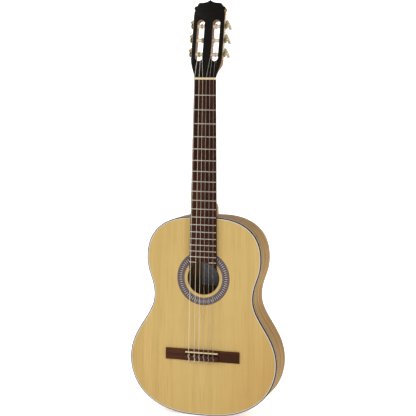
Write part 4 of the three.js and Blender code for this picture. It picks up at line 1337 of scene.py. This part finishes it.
def screw(name, place, axis, radius, body, matrix):
    """A slotted round-head screw: place is its seat, axis points out of it."""
    axis = V(axis).normalized()
    start = V(place)
    dome = [(-0.5, radius * 0.5), (-0.05, radius * 0.5), (0, radius), (radius * 0.22, radius * 0.97),
            (radius * 0.42, radius * 0.78), (radius * 0.54, radius * 0.45), (radius * 0.58, 0.02)]
    head = raw(*lathe(dome, start, start + axis, 20), matrix)
    across = axis.orthogonal().normalized()
    third = axis.cross(across)
    centre = start + axis * radius * 0.62
    corners = []
    for k in (-1, 1):
        for j in (-1, 1):
            for i in (-1, 1):
                corners.append(centre + across * i * radius * 1.2 + third * j * radius * 0.13
                               + axis * k * radius * 0.26)
    cut = combine(head, cuts=[raw(corners, BOX_FACES, matrix)])
    dress(cut, name, GOLD, "gold_plate", body=body)


def plate_outline():
    """The side plate's outline, depth against distance along the head: scrolled ends, straight sides."""
    low_s, high_s, front, back = 45, 160, 2.2, 15.6
    middle = (front + back) / 2
    end = [((front, low_s + 12), (front - 0.2, low_s + 7), (front + 2.6, low_s + 5.6)),
           ((front + 2.6, low_s + 5.6), (front + 3.6, low_s + 1.2), (middle, low_s))]
    quarter = []
    for a, b, c in end:
        quarter += quadratic(a, b, c, 6)
    quarter.append(V((middle, low_s)))
    other = [V((2 * middle - p.x, p.y)) for p in reversed(quarter[:-1])]
    lower = quarter + other
    mid_s = (low_s + high_s) / 2
    upper = [V((2 * middle - p.x, 2 * mid_s - p.y)) for p in lower]
    return lower + upper


def build_side_plate(sign, name):
    matrix = on_side(sign)
    points = counter_clockwise(plate_outline())

    def sheet(shift):
        return inset(points, shift)

    def lift(depth, s, x):
        return V((x, depth, s))

    holes = [ring_of(2.7, 20, ROLLER_DEPTH, s) for s in ROLLER_S]
    plate = raw(*slab(sheet, PLATE_X, PLATE_X + PLATE_T, 0.3, 2, holes, lift), matrix)
    lugs = []
    for s in ROLLER_S:
        up = s + WORM_UP
        for near in (1.2, 13.6):
            def ear(shift, up=up):
                half, out = 3 - shift, 45.4 - shift
                tip = [V((out - half + half * math.sin(a), up + half * math.cos(a)))
                       for a in half_turn(12)]
                return [V((PLATE_X + 0.2, up - half)), *reversed(tip), V((PLATE_X + 0.2, up + half))]
            sides = slab(ear, near, near + 1.2, 0.25, 2, [ring_of(1.72, 18, WORM_X, up)])
            lugs.append(raw(*sides, matrix))
    whole = combine(plate, joins=lugs)
    dress(whole, f"{name}_gilt", PLATEGOLD, "gold_plate", [name])
    for i, s in enumerate((49.4, 77, 111, 155)):
        screw(f"{name}_screw_{i + 1}", (PLATE_X + PLATE_T, 8.9, s), (1, 0, 0), 1.7, "root", matrix)
    for i, s in enumerate(ROLLER_S):
        rows = [(0, 2.68), (0.5, 2.9), (0.9, 2.9), (1.1, 2.6), (1.1, 2.3), (-0.3, 2.3), (-0.3, 2.68)]
        seat = PLATE_X + PLATE_T
        bush = lathe_ring(rows, (seat, ROLLER_DEPTH, s), (seat + 1, ROLLER_DEPTH, s), 28)
        put(f"{name}_bush_{i + 1}", *bush, GOLD, "gold_plate", place=matrix)


def build_roller(number, sign, s):
    matrix = on_side(sign)
    reach = GEAR_HIGH - 0.1
    rows = [(5.65, 4.5), (5.95, 4.95), (9.2, ROLLER_R), (9.5, 4.72), (10.3, 4.62), (27.6, 4.62),
            (28.4, 4.72), (28.7, ROLLER_R), (36.8, 4.98), (37.05, 4.7), (37.1, 2.2), (reach - 0.2, 2.2), (reach, 2.0)]
    barrel = raw(*lathe(rows, (0, ROLLER_DEPTH, s), (1, ROLLER_DEPTH, s), 28), matrix)
    hole = lathe([(0, 0.8), (12, 0.8)], (15.2, ROLLER_DEPTH - 6, s), (15.2, ROLLER_DEPTH + 6, s), 12)
    barrel = combine(barrel, cuts=[raw(*hole, matrix)])
    dress(barrel, f"roller_{number}_barrel", ROLLERPLASTIC, "roller_plastic", [f"string_roller_{number}"],
          f"roller_{number}")


def build_gear(number, sign, s):
    """Fifteen rounded teeth, bevelled faces, and the screw that holds it on its square end."""
    matrix = on_side(sign)
    teeth, tip, root = 15, 6.12, 4.9
    points = []
    for i in range(teeth):
        for share, r in ((-0.5, root), (-0.24, root), (-0.16, 5.5), (-0.085, tip), (0.085, tip), (0.16, 5.5),
                         (0.24, root)):
            a = (i + share) * math.tau / teeth
            points.append(V((ROLLER_DEPTH - r * math.sin(a), s + r * math.cos(a))))

    def lift(depth, up, x):
        return V((x, depth, up))

    wheel = slab(lambda shift: inset(points, shift), GEAR_LOW, GEAR_HIGH, 0.18, 2,
                 [ring_of(2.3, 24, ROLLER_DEPTH, s)], lift)
    body = f"roller_{number}"
    put(f"gear_{number}_wheel", *wheel, GOLD, "gold_plate", [f"tuner_gear_{number}"], body, matrix)
    seat = GEAR_HIGH + 0.45
    rows = [(GEAR_HIGH - 0.05, 3.3), (GEAR_HIGH + 0.35, 3.15), (seat, 2.9), (seat, 0.02)]
    hub = lathe(rows, (0, ROLLER_DEPTH, s), (1, ROLLER_DEPTH, s), 28)
    put(f"gear_{number}_washer", *hub, GOLD, "gold_plate", body=body, place=matrix)
    screw(f"gear_{number}_screw", (seat, ROLLER_DEPTH, s), (1, 0, 0), 2.2, body, matrix)


def build_worm(number, sign, s):
    """The worm shaft: a plain spindle with collars and a right-handed thread."""
    x, up = sign * WORM_X, s + WORM_UP
    centre = V((x, ROLLER_DEPTH, up))
    rows = [(-0.3, 1.1), (-0.1, 1.45), (0.9, 1.5), (3.2, 1.5), (3.3, 1.75), (12.7, 1.75),
            (12.8, 1.5), (24.8, 1.5), (25, 1.3)]
    shaft = lathe(rows, (x, 0, up), (x, 1, up), 24)
    wheel_radius = WORM_UP - 2.3
    lead = math.tau * wheel_radius / 15
    per_turn = 24
    turns = 7.8 / lead
    steps = round(turns * per_turn)
    sections = []
    for i in range(steps + 1):
        turn = (i - steps / 2) / per_turn
        a = turn * math.tau - math.pi / 2
        out = V((math.cos(a), 0, -math.sin(a)))
        y = turn * lead
        fade = min(1, i / 8, (steps - i) / 8)
        tip = 1.6 + 1.22 * fade
        section = [(1.35, -0.5), (1.35, 0.5), (tip - 0.15, 0.27),
                   (tip, 0.16), (tip, -0.16), (tip - 0.15, -0.27)]
        sections.append([centre + out * r + V((0, y + dy, 0)) for r, dy in section])
    thread = raw(*loft(sections), HEAD)
    whole = combine(raw(*shaft, HEAD), joins=[thread])
    dress(whole, f"worm_{number}_thread", GOLD, "steel", [f"worm_shaft_{number}"], f"key_{number}")
    for i, y in enumerate((2.55, 12.95)):
        ring = lathe_ring([(y, 1.55), (y, 2.3), (y + 0.5, 2.3), (y + 0.5, 1.55)], (x, 0, up), (x, 1, up), 24)
        put(f"worm_{number}_collar_{i + 1}", *ring, GOLD, "gold_plate", body=f"key_{number}", place=HEAD)


def butterfly():
    """The button's outline: X along the head, Y backwards from the head's face."""
    stem, waist, length, lobe = 3.1, 19.6, 16, 13.2
    end = waist + length
    left = [((0, end - 1.7), (-2.6, end - 1.3), (-lobe * 0.42, end - 0.3)),
            ((-lobe * 0.42, end - 0.3), (-lobe + 1.4, end + 0.0), (-lobe, waist + length * 0.55)),
            ((-lobe, waist + length * 0.55), (-lobe - 0.4, waist + 3.2), (-lobe + 3.2, waist + 2.4)),
            ((-lobe + 3.2, waist + 2.4), (-stem - 1.6, waist + 2.4), (-stem, waist - 0.8))]
    half = []
    for a, b, c in left:
        half += quadratic(a, b, c, 8)
    half.append(V((-stem, waist - 0.8)))
    right = [V((-p.x, p.y)) for p in reversed(half) if abs(p.x) > 1e-4]
    return half + right


def build_button(number, sign, s):
    turn = Matrix.Rotation(math.radians(-26), 4, "Y")
    place = HEAD @ Matrix.Translation((sign * WORM_X, 0, s + WORM_UP)) @ turn
    points = counter_clockwise(butterfly())
    half = 3.5
    sections_in = [(0.0, 2.4), (0.1, 1.5), (0.3, 0.65), (0.6, 0.15), (1.0, 0.0)]
    rows = [(-half + half * t, shift) for t, shift in sections_in]
    rows += [(half - half * t, shift) for t, shift in reversed(sections_in[:-1])]
    verts = []
    for thick, shift in rows:
        for p in inset(points, shift):
            # the lobes are dished: thinner in the middle of the blade than at the rim
            dish = 1 - 0.28 * math.exp(-((abs(p.x) - 6.5) / 3.2) ** 2) * (1 if shift > 0.4 else 0)
            verts.append(V((thick * dish, p.y, p.x)))
    count = len(points)
    faces = grid_faces(len(rows), count)
    for base in (0, (len(rows) - 1) * count):
        flat = [V((verts[base + i].z, verts[base + i].y, 0)) for i in range(count)]
        faces += [tuple(base + i for i in face) for face in tessellate_polygon([flat])]
    blade = raw(verts, faces, place)
    stem = [(15.9, 2.3), (16.1, 2.9), (16.9, 3.1), (19.2, 3.1), (22.5, 2.9), (25.5, 1.8), (26.4, 0.4)]
    body = combine(blade, joins=[raw(*lathe(stem, (0, 0, 0), (0, 1, 0), 28), place)])
    dress(body, f"button_{number}_pearl", PEARL, "button_pearl", [f"tuner_button_{number}"], f"key_{number}",
          crease=48)
    ferrule = lathe_ring([(15.0, 1.55), (15.0, 2.7), (15.3, 3.0), (15.75, 3.0), (15.95, 2.75), (15.95, 1.55)],
                         (0, 0, 0), (0, 1, 0), 28)
    put(f"button_{number}_ferrule", *ferrule, GOLD, "gold_plate", body=f"key_{number}", place=place)


def build_machine_heads():
    build_side_plate(-1, "tuner_plate_bass")
    build_side_plate(1, "tuner_plate_treble")
    for number in range(1, 7):
        sign = -1 if number > 3 else 1
        s = ROLLER_S[ROLLER_OF[number]]
        build_roller(number, sign, s)
        build_gear(number, sign, s)
        build_worm(number, sign, s)
        build_button(number, sign, s)


# ---- inner pieces that keep their CAD shape -------------------------------------------------


def paint_inner_pieces():
    along_x = ["upper_bar", "lower_bar", "back_bar_1", "back_bar_2", "back_bar_3"]
    along_z = ["neck_block", "tail_block", "lining_top", "lining_back", "fan_bracing", "back_strip"]
    for names, material in ((along_x, BARWOOD), (along_z, RAWWOOD), (["label"], PAPER)):
        for name in names:
            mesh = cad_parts[name].data
            mesh.materials.clear()
            mesh.materials.append(material)


build_bindings()
build_sides()
build_soundboard()
build_rosette()
build_back()
build_neck()
build_head_plate()
build_heel_cap()
build_fingerboard()
build_nut()
build_bridge()
build_saddle()
for string_number in range(1, 7):
    build_string(string_number)
build_machine_heads()
paint_inner_pieces()
